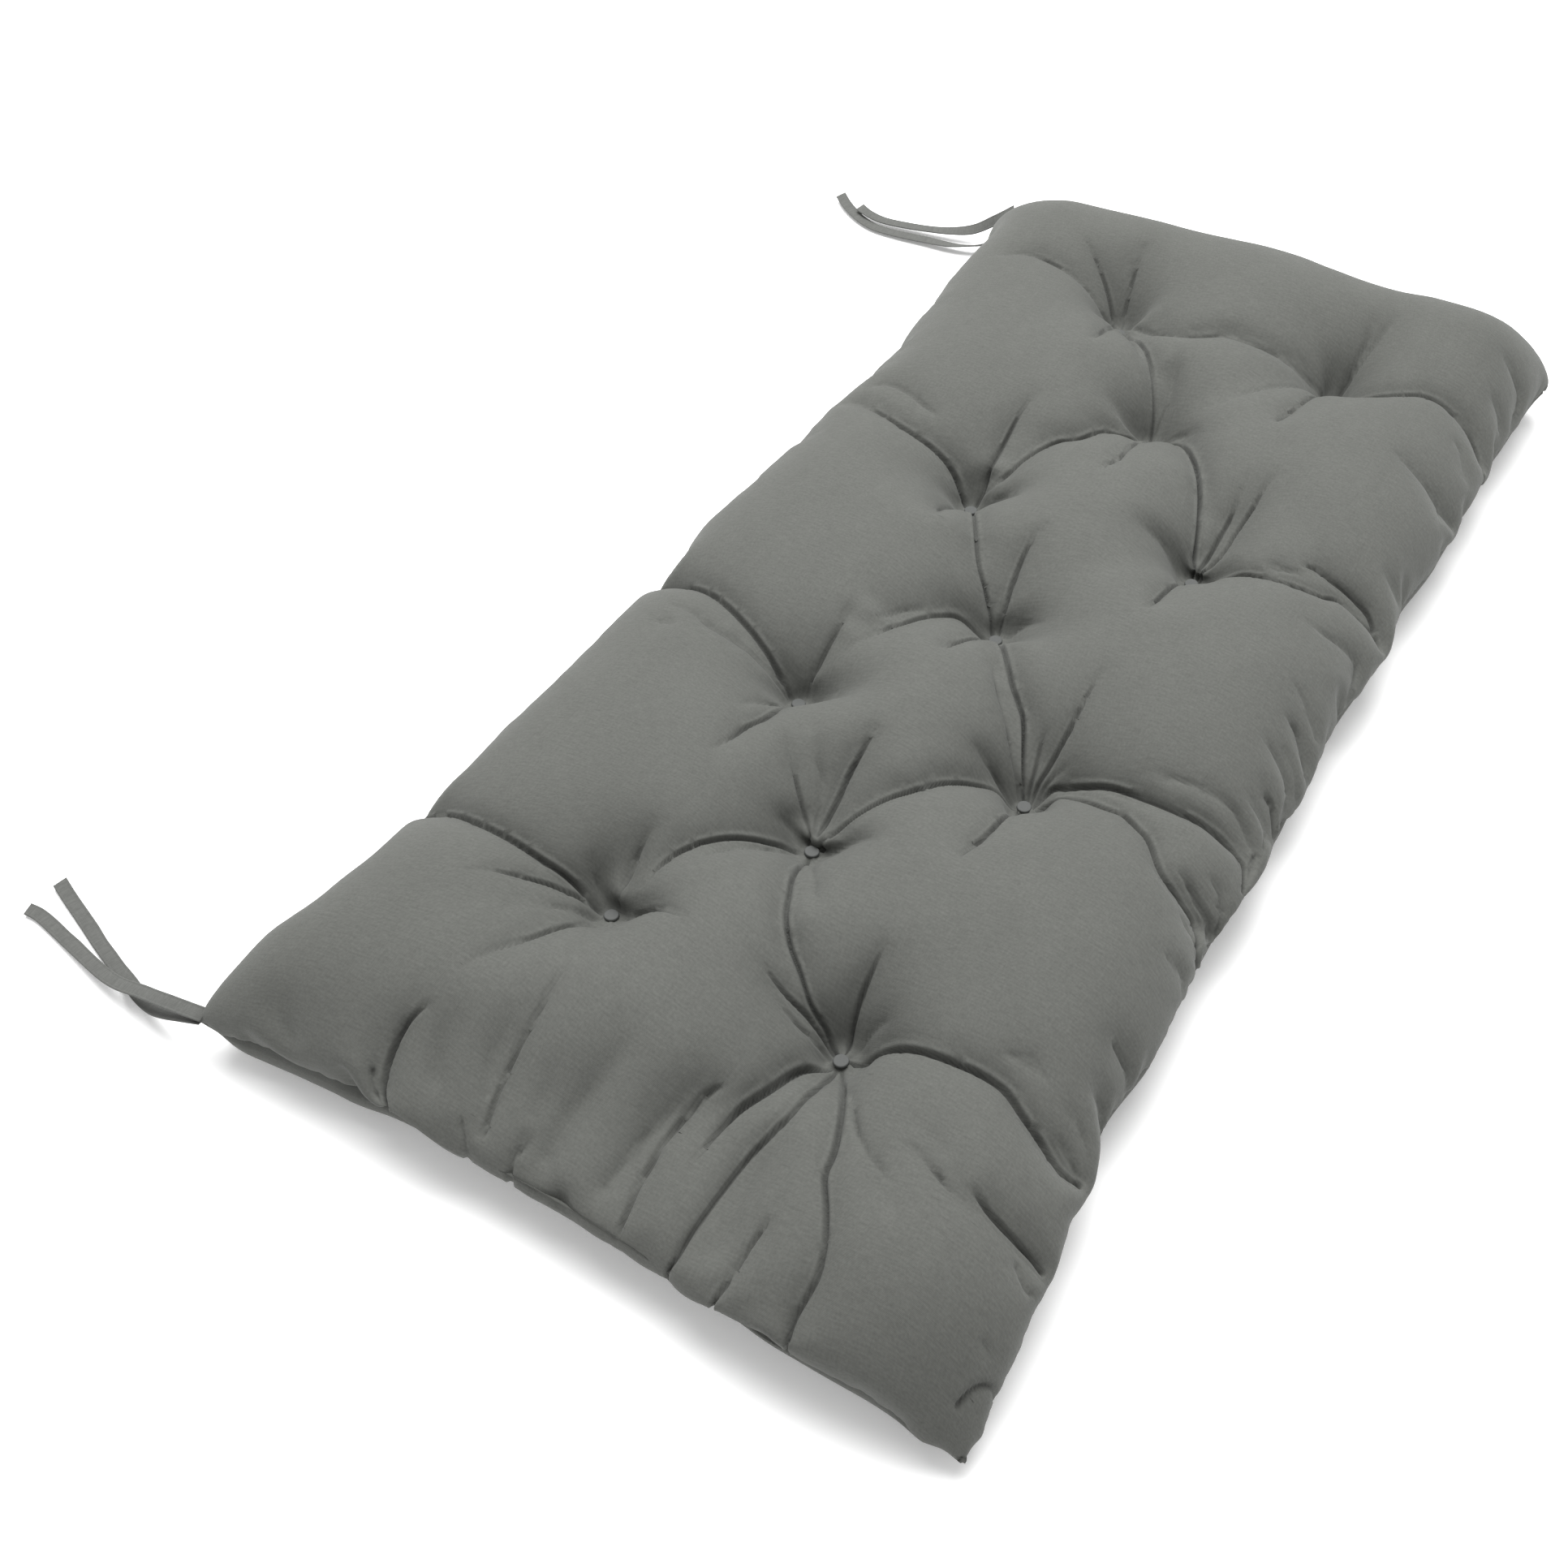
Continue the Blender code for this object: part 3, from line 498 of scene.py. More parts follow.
    Crease("t3_left", 0.3, 5, ((-0.216, 0.007), (-0.212, 0.024), (-0.220, 0.035))),
    Crease("t3_right", 0.4, 5, ((-0.216, 0.007), (-0.209, -0.022), (-0.214, -0.038))),
    Crease("t3_t4", 0.9, 5, ((-0.216, 0.007), (-0.206, -0.001), (-0.192, -0.011), (-0.175, -0.024), (-0.161, -0.037), (-0.146, -0.046), (-0.130, -0.059), (-0.118, -0.070), (-0.116, -0.088))),
    Crease("t3_t2", 0.9, 5, ((-0.216, 0.007), (-0.223, 0.018), (-0.234, 0.026), (-0.253, 0.043), (-0.269, 0.054), (-0.280, 0.061), (-0.293, 0.066), (-0.306, 0.070), (-0.315, 0.082))),
    Crease("t3_t2b", 0.5, 4, ((-0.220, 0.013), (-0.239, 0.023), (-0.259, 0.037), (-0.280, 0.047), (-0.293, 0.055))),
    Crease("t3_t1", 1.0, 5, ((-0.216, 0.007), (-0.251, -0.003), (-0.273, -0.013), (-0.291, -0.022), (-0.305, -0.033), (-0.317, -0.047), (-0.328, -0.061), (-0.332, -0.077), (-0.341, -0.089))),
    Crease("t3_low", 0.4, 4, ((-0.216, 0.007), (-0.262, -0.023), (-0.287, -0.042))),
    Crease("t2_upleft", 1.0, 5, ((-0.321, 0.084), (-0.322, 0.103), (-0.325, 0.124), (-0.325, 0.145), (-0.323, 0.177), (-0.316, 0.213), (-0.317, 0.239))),
    Crease("t2_left", 0.8, 4, ((-0.321, 0.084), (-0.323, 0.095), (-0.330, 0.108), (-0.336, 0.119), (-0.344, 0.131), (-0.353, 0.143), (-0.367, 0.159))),
    Crease("t2_left2", 0.4, 4, ((-0.321, 0.084), (-0.340, 0.100), (-0.352, 0.110), (-0.377, 0.134))),
    Crease("t2_low", 0.7, 6, ((-0.321, 0.084), (-0.350, 0.090), (-0.374, 0.095), (-0.404, 0.107), (-0.424, 0.113))),
    Crease("t2_up", 0.6, 5, ((-0.321, 0.084), (-0.303, 0.083), (-0.287, 0.084), (-0.268, 0.081))),
    Crease("t2_up2", 0.4, 5, ((-0.321, 0.084), (-0.312, 0.099), (-0.306, 0.110))),
    Crease("t2_right", 0.7, 5, ((-0.321, 0.084), (-0.320, 0.050), (-0.329, 0.020))),
    Crease("t1_up", 0.9, 4, ((-0.341, -0.089), (-0.335, -0.078), (-0.333, -0.065), (-0.332, -0.049), (-0.330, -0.035), (-0.326, -0.023))),
    Crease("t1_up_b", 0.6, 4, ((-0.341, -0.089), (-0.340, -0.073), (-0.341, -0.062), (-0.339, -0.045), (-0.336, -0.030))),
    Crease("t1_upright", 1.0, 4, ((-0.341, -0.089), (-0.321, -0.085), (-0.312, -0.084), (-0.297, -0.084), (-0.281, -0.085))),
    Crease("t1_upright2", 0.4, 5, ((-0.341, -0.089), (-0.322, -0.097), (-0.315, -0.110))),
    Crease("t1_right", 1.0, 6, ((-0.341, -0.089), (-0.332, -0.109), (-0.330, -0.132), (-0.330, -0.148), (-0.329, -0.171), (-0.330, -0.186), (-0.337, -0.201), (-0.343, -0.216), (-0.347, -0.230), (-0.345, -0.241))),
    Crease("t1_right2", 0.4, 5, ((-0.314, -0.173), (-0.312, -0.192), (-0.316, -0.206))),
    Crease("t1_left", 1.0, 6, ((-0.341, -0.089), (-0.364, -0.077), (-0.387, -0.071), (-0.408, -0.063), (-0.426, -0.060), (-0.444, -0.060), (-0.463, -0.063))),
    Crease("t1_down", 0.9, 5, ((-0.341, -0.089), (-0.376, -0.111), (-0.397, -0.121), (-0.412, -0.126), (-0.425, -0.129), (-0.442, -0.140), (-0.458, -0.149), (-0.473, -0.154), (-0.483, -0.154), (-0.495, -0.153), (-0.507, -0.155))),
    Crease("t1_left2", 0.9, 4, ((-0.341, -0.089), (-0.391, -0.092), (-0.409, -0.089), (-0.430, -0.084), (-0.449, -0.082), (-0.476, -0.081), (-0.496, -0.080), (-0.506, -0.076))),
    Crease("t1_third", 0.8, 5, ((-0.457, -0.116), (-0.472, -0.113), (-0.490, -0.112), (-0.507, -0.109))),
    Crease("t1_low3", 0.6, 4, ((-0.363, -0.107), (-0.389, -0.126), (-0.401, -0.139), (-0.412, -0.157), (-0.419, -0.167))),
    Crease("t1_low4", 0.6, 4, ((-0.391, -0.156), (-0.393, -0.168), (-0.400, -0.183), (-0.406, -0.199), (-0.407, -0.210))),
    Crease("t1_lowright", 0.9, 6, ((-0.396, -0.200), (-0.399, -0.210), (-0.401, -0.221), (-0.401, -0.232), (-0.401, -0.241), (-0.402, -0.248))),
    Crease("near_1", 1.0, 6, ((-0.444, 0.116), (-0.459, 0.124), (-0.472, 0.125), (-0.484, 0.123), (-0.493, 0.119), (-0.501, 0.111))),
    Crease("near_1b", 0.6, 4, ((-0.487, 0.129), (-0.494, 0.124), (-0.500, 0.114))),
    Crease("near_2", 0.7, 7, ((-0.391, 0.064), (-0.420, 0.061), (-0.442, 0.061), (-0.464, 0.058), (-0.487, 0.052))),
    Crease("near_3", 0.6, 8, ((-0.472, 0.029), (-0.482, 0.028), (-0.490, 0.030), (-0.502, 0.027))),
    Crease("near_8", 0.5, 4, ((-0.488, 0.066), (-0.494, 0.061), (-0.500, 0.056))),
    Crease("near_4", 0.6, 11, ((-0.402, 0.004), (-0.427, 0.009), (-0.453, 0.013), (-0.478, 0.014))),
    Crease("near_5", 0.8, 8, ((-0.398, -0.052), (-0.410, -0.044), (-0.428, -0.039), (-0.446, -0.037), (-0.463, -0.038))),
    Crease("near_6", 0.8, 8, ((-0.439, -0.037), (-0.454, -0.038), (-0.469, -0.039), (-0.484, -0.042), (-0.497, -0.044))),
    Crease("corner_nr", 0.6, 5, ((-0.487, -0.244), (-0.475, -0.248), (-0.465, -0.255))),
    Crease("gather_1", 0.5, 4, ((0.089, -0.180), (0.092, -0.199), (0.098, -0.216), (0.096, -0.223), (0.076, -0.228))),
    Crease("gather_2", 0.3, 4, ((0.035, -0.198), (0.031, -0.209), (0.025, -0.218), (0.020, -0.225))),
    Crease("gather_3", 0.5, 4, ((0.010, -0.204), (0.010, -0.214), (0.003, -0.223), (-0.005, -0.231))),
    Crease("gather_4", 0.3, 4, ((-0.010, -0.213), (-0.013, -0.224), (-0.023, -0.232))),
    Crease("gather_5", 0.5, 4, ((-0.016, -0.200), (-0.018, -0.211), (-0.023, -0.223), (-0.032, -0.229), (-0.047, -0.232))),
    Crease("gather_6", 0.6, 7, ((-0.046, -0.219), (-0.047, -0.224), (-0.058, -0.232))),
    Crease("gather_7", 0.4, 5, ((-0.060, -0.206), (-0.059, -0.218), (-0.063, -0.227), (-0.077, -0.232))),
    Crease("gather_8", 0.5, 5, ((-0.085, -0.229), (-0.094, -0.231), (-0.113, -0.235))),
    Crease("gather_9", 0.5, 5, ((-0.125, -0.218), (-0.128, -0.225), (-0.136, -0.230), (-0.142, -0.231))),
    Crease("gather_10", 0.6, 6, ((-0.140, -0.211), (-0.143, -0.221), (-0.146, -0.227), (-0.158, -0.232))),
    Crease("gather_11", 0.5, 4, ((-0.159, -0.210), (-0.163, -0.221), (-0.169, -0.230), (-0.178, -0.235))),
    Crease("gather_12", 0.3, 4, ((-0.198, -0.221), (-0.195, -0.230), (-0.201, -0.235))),
    Crease("gather_13", 0.5, 5, ((-0.268, -0.222), (-0.269, -0.230), (-0.270, -0.234), (-0.286, -0.238))),
    Crease("gather_14", 0.3, 5, ((-0.302, -0.224), (-0.297, -0.229), (-0.310, -0.238))),
    Crease("gather_15", 0.3, 5, ((-0.320, -0.220), (-0.324, -0.231), (-0.331, -0.238))),
    Crease("gather_16", 0.3, 5, ((-0.335, -0.219), (-0.339, -0.229), (-0.342, -0.236))),
    Crease("gather_17", 0.4, 5, ((-0.413, -0.237), (-0.419, -0.247), (-0.416, -0.250))),
    Crease("gather_18", 0.3, 5, ((-0.457, -0.240), (-0.459, -0.247), (-0.455, -0.251))),
    Crease("gather_19", 0.3, 4, ((0.175, -0.205), (0.175, -0.216), (0.173, -0.223))),
    Crease("gather_20", 0.3, 4, ((0.278, -0.202), (0.277, -0.212), (0.254, -0.222))),
    Crease("gather_21", 0.3, 4, ((0.335, -0.199), (0.330, -0.209), (0.315, -0.219))),
    Crease("soft_1", 0.6, 12, ((-0.424, 0.008), (-0.443, 0.013), (-0.462, 0.016), (-0.486, 0.013))),
    Crease("soft_2", 0.6, 12, ((-0.405, -0.042), (-0.422, -0.034), (-0.444, -0.029), (-0.468, -0.026), (-0.485, -0.024))),
    Crease("soft_3", 0.5, 12, ((-0.422, 0.072), (-0.440, 0.072), (-0.457, 0.068), (-0.473, 0.060))),
    Crease("soft_4", 0.5, 10, ((-0.440, 0.100), (-0.455, 0.100), (-0.469, 0.096), (-0.480, 0.090))),
    Crease("soft_5", 0.4, 10, ((-0.481, 0.201), (-0.486, 0.197), (-0.491, 0.189), (-0.493, 0.183))),
    Crease("soft_6", 0.3, 12, ((-0.432, 0.031), (-0.453, 0.033), (-0.472, 0.032))),
    Crease("soft_7", 0.5, 12, ((-0.411, -0.093), (-0.435, -0.092), (-0.463, -0.093), (-0.488, -0.095))),
    Crease("soft_8", 0.3, 12, ((-0.405, -0.139), (-0.420, -0.159), (-0.433, -0.177))),
    Crease("soft_9", 0.3, 12, ((-0.374, -0.146), (-0.379, -0.164), (-0.388, -0.182))),
)


def smooth_line(points, steps=6):
    p = np.array(points, float)
    if len(p) < 3:
        return p
    return np.array([through(p.tolist(), k / steps) for k in range(steps * (len(p) - 1) + 1)])


# ---- the cover: its shape when filled, before the cloth has its say ----
def ellipse_lines(span, radius, height, count):
    """count + 1 positions across a span centred on 0, evenly spaced along a section that is a quarter ellipse, then
    level, then a quarter ellipse. Also the same positions laid flat."""
    theta = np.linspace(0, np.pi / 2, 400)
    d, z = radius * (1 - np.cos(theta)), height * np.sin(theta)
    arc = np.concatenate([[0], np.cumsum(np.hypot(np.diff(d), np.diff(z)))])
    total = 2 * arc[-1] + span - 2 * radius
    flat = np.linspace(0, total, count + 1)
    out = np.interp(flat, arc, d)
    inner = (flat > arc[-1]) & (flat < total - arc[-1])
    out[inner] = radius + flat[inner] - arc[-1]
    far = flat >= total - arc[-1]
    out[far] = span - np.interp(total - flat[far], arc, d)
    return out - span / 2, flat - total / 2


def seam_line(side, share):
    """Points of the seam along a side, at shares of its length: from near to far, or from open to tied."""
    share = np.asarray(share, float)
    if side in ("near", "far"):
        a, b = CORNERS[side, "open"], CORNERS[side, "tied"]
        inset = smooth_interp(1 - share, INSET_AT, INSET[side]) * 0.001
        inward = (1.0, 0.0, 0.0) if side == "near" else (-1.0, 0.0, 0.0)
    else:
        a, b = CORNERS["near", side], CORNERS["far", side]
        inset = smooth_interp(share, INSET_AT, INSET[side]) * 0.001
        inward = (0.0, -1.0, 0.0) if side == "tied" else (0.0, 1.0, 0.0)
    a, b = np.array(a), np.array(b)
    p = a[:, None] * (1 - share) + b[:, None] * share + np.array(inward)[:, None] * inset
    p[2] = smooth_interp(share, (0, 0.12, 0.3, 0.7, 0.88, 1), (a[2], 0.034, 0.037, 0.037, 0.034, b[2]))
    return p


def smooth_interp(at, xs, ys):
    xs, ys = np.array(xs, float), np.array(ys, float)
    k = np.clip(np.searchsorted(xs, at, side="right") - 1, 0, len(xs) - 2)
    t = np.clip((at - xs[k]) / (xs[k + 1] - xs[k]), 0, 1)
    t = t * t * (3 - 2 * t)
    return ys[k] * (1 - t) + ys[k + 1] * t


def ramp_up(t):
    t = np.clip(t, 0, 1)
    return t * t * (3 - 2 * t)


def plan(x, y):
    """Where a point of the regular rectangle goes in the real outline: a Coons patch between the four seam lines, with
    the tufts carried to their real places. x is (n,), y is (m,); gives 3 x n x m, z at the seam's height."""

    def patch(s, t):
        near, far = seam_line("near", t.ravel()), seam_line("far", t.ravel())
        tied, open_ = seam_line("tied", s.ravel()), seam_line("open", s.ravel())
        shape = np.broadcast(s, t).shape
        near, far = (v.reshape((3,) + t.shape) for v in (near, far))
        tied, open_ = (v.reshape((3,) + s.shape) for v in (tied, open_))
        flat = 0
        for (end, side), c in CORNERS.items():
            flat = flat + np.array(c)[:, None, None] * (s if end == "far" else 1 - s) * (t if side == "tied" else 1 - t)
        return np.broadcast_to(near * (1 - s) + far * s + tied * t + open_ * (1 - t) - flat, (3,) + shape).copy()

    s, t = (x / LENGTH + 0.5)[:, None], (y / WIDTH + 0.5)[None, :]
    p = patch(s, t)
    for _, row, column, tx, ty in TUFTS:
        hx, hy = (row - 3) * ROW_PITCH, column * COLUMN_PITCH
        home = patch(np.array([[hx / LENGTH + 0.5]]), np.array([[hy / WIDTH + 0.5]]))[:, 0, 0]
        away = np.hypot(x[:, None] - hx, y[None, :] - hy)
        w = 1 - ramp_up((away - 0.016) / 0.105)
        p[0] += (tx - home[0]) * w
        p[1] += (ty - home[1]) * w
    return p


class Raster:
    """A field over the plan, read by position."""

    def __init__(self, step=0.0015):
        self.step = step
        self.xs = np.arange(-0.535, 0.5351, step)
        self.ys = np.arange(-0.285, 0.2851, step)
        self.f = np.zeros((len(self.xs), len(self.ys)), np.float32)

    def near_line(self, points, reach):
        """The part of the field within reach of a line: its slices, and there the distance to the line and how far along."""
        pts = np.asarray(points, float)[:, :2]
        i0, j0 = (np.searchsorted(v, x) for v, x in zip((self.xs, self.ys), pts.min(0) - reach))
        i1, j1 = (np.searchsorted(v, x) for v, x in zip((self.xs, self.ys), pts.max(0) + reach))
        X, Y = self.xs[i0:i1, None], self.ys[None, j0:j1]
        best = np.full((i1 - i0, j1 - j0), 1e9)
        at = np.zeros_like(best)
        n = len(pts) - 1
        for k in range(n):
            a, d = pts[k], pts[k + 1] - pts[k]
            t = np.clip(((X - a[0]) * d[0] + (Y - a[1]) * d[1]) / (d @ d + 1e-12), 0, 1)
            away = np.hypot(X - a[0] - t * d[0], Y - a[1] - t * d[1])
            nearer = away < best
            best = np.where(nearer, away, best)
            at = np.where(nearer, (k + t) / n, at)
        return (slice(i0, i1), slice(j0, j1)), best, at

    def line(self, points, half_width, depth, fade=None, power=2.0):
        """Deepens the field along a line: a round section at power 2, a sharper one below."""
        where, away, at = self.near_line(points, 3.2 * half_width)
        part = depth * (fade(at) if fade else 1.0) * np.exp(-((away / half_width) ** power))
        self.f[where] = np.maximum(self.f[where], part)

    def read(self, x, y):
        fx = np.clip((x - self.xs[0]) / self.step, 0, len(self.xs) - 1.001)
        fy = np.clip((y - self.ys[0]) / self.step, 0, len(self.ys) - 1.001)
        i, j = fx.astype(np.int32), fy.astype(np.int32)
        fx, fy = fx - i, fy - j
        f = self.f
        return (
            f[i, j] * (1 - fx) * (1 - fy) + f[i + 1, j] * fx * (1 - fy) + f[i, j + 1] * (1 - fx) * fy + f[i + 1, j + 1] * fx * fy
        ).astype(np.float32)


# The creases that cross from one tuft to the next, and the neighbours that no single crease joins.
CROSSING = ("t8_t9", "t8_t6", "t6_left", "t6_t4", "t9_t7", "t11_t9", "t11_t10", "t3_t4", "t3_t2", "t3_t1")
JOINED = (("1_middle", "2_tied"), ("2_middle", "3_open"), ("3_middle", "4_open"))
RUNNING_OUT = (
    "t8_left", "t11_left", "t10_right", "t7_right", "t4_right", "t4_right2", "t5_upleft", "t2_upleft", "t1_right", "t1_left",
    "t1_lowright", "right_far",
)  # fmt: skip


def trough_field():
    field = Raster()
    tufts = {name: (x, y) for name, _, _, x, y in TUFTS}
    for a, b in JOINED:
        field.line([tufts[a], tufts[b]], TROUGH_HALF_WIDTH, TROUGH_DEPTH, power=1.4)
    for c in CREASES:
        if c.name in CROSSING:
            field.line(smooth_line(c.points), TROUGH_HALF_WIDTH, TROUGH_DEPTH, power=1.4)
        if c.name in RUNNING_OUT:
            field.line(smooth_line(c.points), OUT_HALF_WIDTH, OUT_DEPTH * c.strength, lambda t: 1 - 0.45 * t, power=1.4)
    return field


TUFT_PLACES = np.array([c[3:] for c in TUFTS])


def seam_outline(count=60):
    """Points of the seam seen from above, once round."""
    share = np.linspace(0, 1, count)
    return np.concatenate([seam_line(side, share)[:2].T for side in ("near", "far", "tied", "open")])


SEAM_PLACES = seam_outline()


def crease_fade(crease):
    """How strong a crease is along its length: it dies away at an end that isn't at a tuft or the seam."""
    ends = [
        np.hypot(*(TUFT_PLACES - crease.points[k]).T).min() < 0.004 or np.hypot(*(SEAM_PLACES - crease.points[k]).T).min() < 0.014
        for k in (0, -1)
    ]

    def fade(t):
        start = 1.0 if ends[0] else np.clip(t / 0.25, 0, 1) ** 0.8
        return start * (1.0 if ends[1] else np.clip((1 - t) / 0.45, 0, 1) ** 0.9)

    return fade


def groove_field(least):
    """Crease depths as shares of 1. least is the narrowest half width that the grid can hold."""
    field = Raster()
    for c in CREASES:
        half = c.width_mm * 0.00045
        wide = max(half, least)
        field.line(smooth_line(c.points), wide, c.strength * half / wide, crease_fade(c))
    return field


def fold_field():
    """The sharp folds at the bottom of the creases, the cloth standing up beside them, and the hollow that they lie in."""
    down, up, hollow = Raster(0.0005), Raster(0.0005), Raster(0.0010)
    rng = np.random.default_rng(5)
    for c in CREASES:
        w = c.width_mm * 0.00019
        where, away, at = down.near_line(smooth_line(c.points), 7 * w)
        tight = rng.uniform(0.45 if c.strength < 0.8 else 0.70, 1.0, 8)  # a fold is pinched in some places and opens in others
        size = c.strength * crease_fade(c)(at) * np.interp(at, np.linspace(0, 1, 8), tight)
        w = w * (1 - 0.35 * at)
        around, far_away, far_at = hollow.near_line(smooth_line(c.points), 0.026)
        lasting = (0.35 if c.name in CROSSING else 1.0) * c.strength * crease_fade(c)(far_at)
        if c.width_mm > 8:  # a soft wrinkle: the round hollow alone
            lasting = c.strength * ramp_up(far_at / 0.6) * ramp_up((1 - far_at) / 0.12)
            hollow.f[around] = np.maximum(hollow.f[around], 1.3 * lasting * np.exp(-((far_away / 0.0030) ** 2)))
            continue
        hollow.f[around] = np.maximum(hollow.f[around], lasting * np.exp(-far_away / HOLLOW_REACH))
        part = size * np.exp(-((away / np.maximum(0.75 * w, 0.00105 if c.strength > 0.6 else 0.00150)) ** 2))
        down.f[where] = np.maximum(down.f[where], part)
        up.f[where] = np.maximum(up.f[where], size * np.exp(-(((away - 2.5 * w) / (1.5 * w)) ** 2)))
    up.f *= 1 - np.clip(down.f * 2, 0, 1)
    return down, up, hollow


def start_shape(lines_x, lines_y, grooves):
    """The filled shape on the grid: top and underside, each 3 x n x m, and the top's height without its creases."""
    p = plan(lines_x, lines_y)
    x, y = lines_x[:, None], lines_y[None, :]
    d_end, d_side = LENGTH / 2 - np.abs(x), WIDTH / 2 - np.abs(y)

    def quarter(d, radius):
        return np.sqrt(np.clip(1 - (1 - np.clip(d / radius, 0, 1)) ** 2, 0, 1))

    edge = quarter(d_end, ROUND_END) * quarter(d_side, ROUND_SIDE)
    seam_z = p[2].copy()
    shifted = CROWN_Z + sum(
        dz * np.exp(-(((p[0] - cx) / rx) ** 2) - ((p[1] - cy) / ry) ** 2) for cx, cy, rx, ry, dz in CROWN_SHIFTS
    )
    crown = seam_z + (shifted - seam_z) * edge
    pull = np.zeros_like(crown)
    pull_under = np.zeros_like(crown)
    for _, _, _, tx, ty in TUFTS:
        away = np.maximum(0, np.hypot(p[0] - tx, p[1] - ty) - 0.005)
        pull = np.maximum(pull, np.exp(-((away / TUFT_REACH) ** 1.05)))
        pull_under = np.maximum(pull_under, np.exp(-((away / 0.020) ** 1.3)))
    top = p.copy()
    top[2] = crown + (TUFT_TOP_Z - crown) * pull
    out = np.zeros_like(top)
    out[2] = 1
    out[:, 1:-1, 1:-1] = grid_normals(top)
    open_part = np.clip(np.minimum(d_end, d_side) / 0.0035, 0, 1) * (1 - pull)  # none at the seam or the tuft itself
    top -= out * TROUGHS_FIELD.read(p[0], p[1]) * open_part
    plain = top[2].copy()
    top -= out * grooves.read(p[0], p[1]) * GROOVE_DEPTH * np.clip(open_part * 2, 0, 1)
    edge_under = quarter(d_end, ROUND_UNDER) * quarter(d_side, ROUND_UNDER)
    under = p.copy()
    under[2] = seam_z * (1 - edge_under) + TUFT_UNDER_Z * pull_under
    return top, under, plain


TROUGHS_FIELD = trough_field()

# ---- the cover: the cloth simulation ----
GRID = (384, 192)  # cells of the top; the underside has half as many each way and shares the seam
EASE = 0.018  # cloth to spare everywhere, as a share of its length
GATHER_SIDE, GATHER_END, GATHER_REACH = 0.030, 0.022, 0.045  # more of it along the seam, where the sewing gathers it
PRESSURE = 0.22
STRETCH, SQUEEZE, SHEAR = 1.0, 0.35, 0.20
DAMPING = 0.965
CREASE_PULL = 8.0


class Links:
    """One family of springs between grid points, relaxed together because they share no point."""

    def __init__(self, grid, first, second, rest, stretch, squeeze):
        self.a, self.b = grid[first], grid[second]
        self.rest = np.ascontiguousarray(rest, np.float32)
        self.d = np.empty(self.a.shape, np.float32)
        self.q = np.empty(self.a.shape, np.float32)
        self.l = np.empty(self.a.shape[1:], np.float32)
        self.s = np.empty(self.a.shape[1:], np.float32)
        self.stretch, self.squeeze = np.float32(stretch * 0.5), np.float32(squeeze * 0.5)

    def relax(self):
        a, b, d, q, l, s = self.a, self.b, self.d, self.q, self.l, self.s
        np.subtract(b, a, out=d)
        np.multiply(d, d, out=q)
        np.add(q[0], q[1], out=l)
        l += q[2]
        np.sqrt(l, out=l)
        np.subtract(l, self.rest, out=s)
        s /= l
        np.maximum(s, 0, out=l)
        np.minimum(s, 0, out=s)
        l *= self.stretch
        s *= self.squeeze
        s += l
        d *= s
        a += d
        b -= d


def lengths(p, step_i, step_j):
    """Distances between grid points that far apart."""
    n, m = p.shape[1:]
    if step_j >= 0:
        d = p[:, step_i:, step_j:] - p[:, : n - step_i, : m - step_j]
    else:
        d = p[:, step_i:, :step_j] - p[:, : n - step_i, -step_j:]
    return np.sqrt((d * d).sum(0))


def cloth_links(grid, rest_x, rest_y, rest_up, rest_down, squeeze):
    """Springs along both threads, and both diagonals."""
    every = slice(None)
    n, m = grid.shape[1:]
    threads, diagonals = [], []
    for k in (0, 1):
        threads.append(Links(grid, (every, slice(k, n - 1, 2), every), (every, slice(k + 1, n, 2), every), rest_x[k::2, :], STRETCH, squeeze))
        threads.append(Links(grid, (every, every, slice(k, m - 1, 2)), (every, every, slice(k + 1, m, 2)), rest_y[:, k::2], STRETCH, squeeze))
    for i in (0, 1):
        for j in (0, 1):
            ia, ib = slice(i, n - 1, 2), slice(i + 1, n, 2)
            ja, jb = slice(j, m - 1, 2), slice(j + 1, m, 2)
            up = Links(grid, (every, ia, ja), (every, ib, jb), rest_up[i::2, j::2], SHEAR, SHEAR)
            down = Links(grid, (every, ia, jb), (every, ib, ja), rest_down[i::2, j::2], SHEAR, SHEAR)
            diagonals.append((up, down))
    return threads, diagonals


def resist_bending(p, share, work):
    """Moves each point towards where its neighbours' own curvature would put it."""
    c = work
    c[:] = 0
    c[:, 1:-1, 1:-1] = (p[:, :-2, 1:-1] + p[:, 2:, 1:-1] + p[:, 1:-1, :-2] + p[:, 1:-1, 2:]) * 0.25 - p[:, 1:-1, 1:-1]
    own = c[:, 1:-1, 1:-1]
    step = (c[:, :-2, 1:-1] + c[:, 2:, 1:-1] + c[:, 1:-1, :-2] + c[:, 1:-1, 2:]) * 0.25 - own
    step[:, :1] = 0
    step[:, -1:] = 0
    step[:, :, :1] = 0
    step[:, :, -1:] = 0
    p[:, 1:-1, 1:-1] -= share * step


def grid_normals(p):
    ax, ay = p[:, 2:, 1:-1] - p[:, :-2, 1:-1], p[:, 1:-1, 2:] - p[:, 1:-1, :-2]
    n = np.empty_like(ax)
    n[0] = ax[1] * ay[2] - ax[2] * ay[1]
    n[1] = ax[2] * ay[0] - ax[0] * ay[2]
    n[2] = ax[0] * ay[1] - ax[1] * ay[0]
    n /= np.sqrt((n * n).sum(0)) + 1e-12
    return n


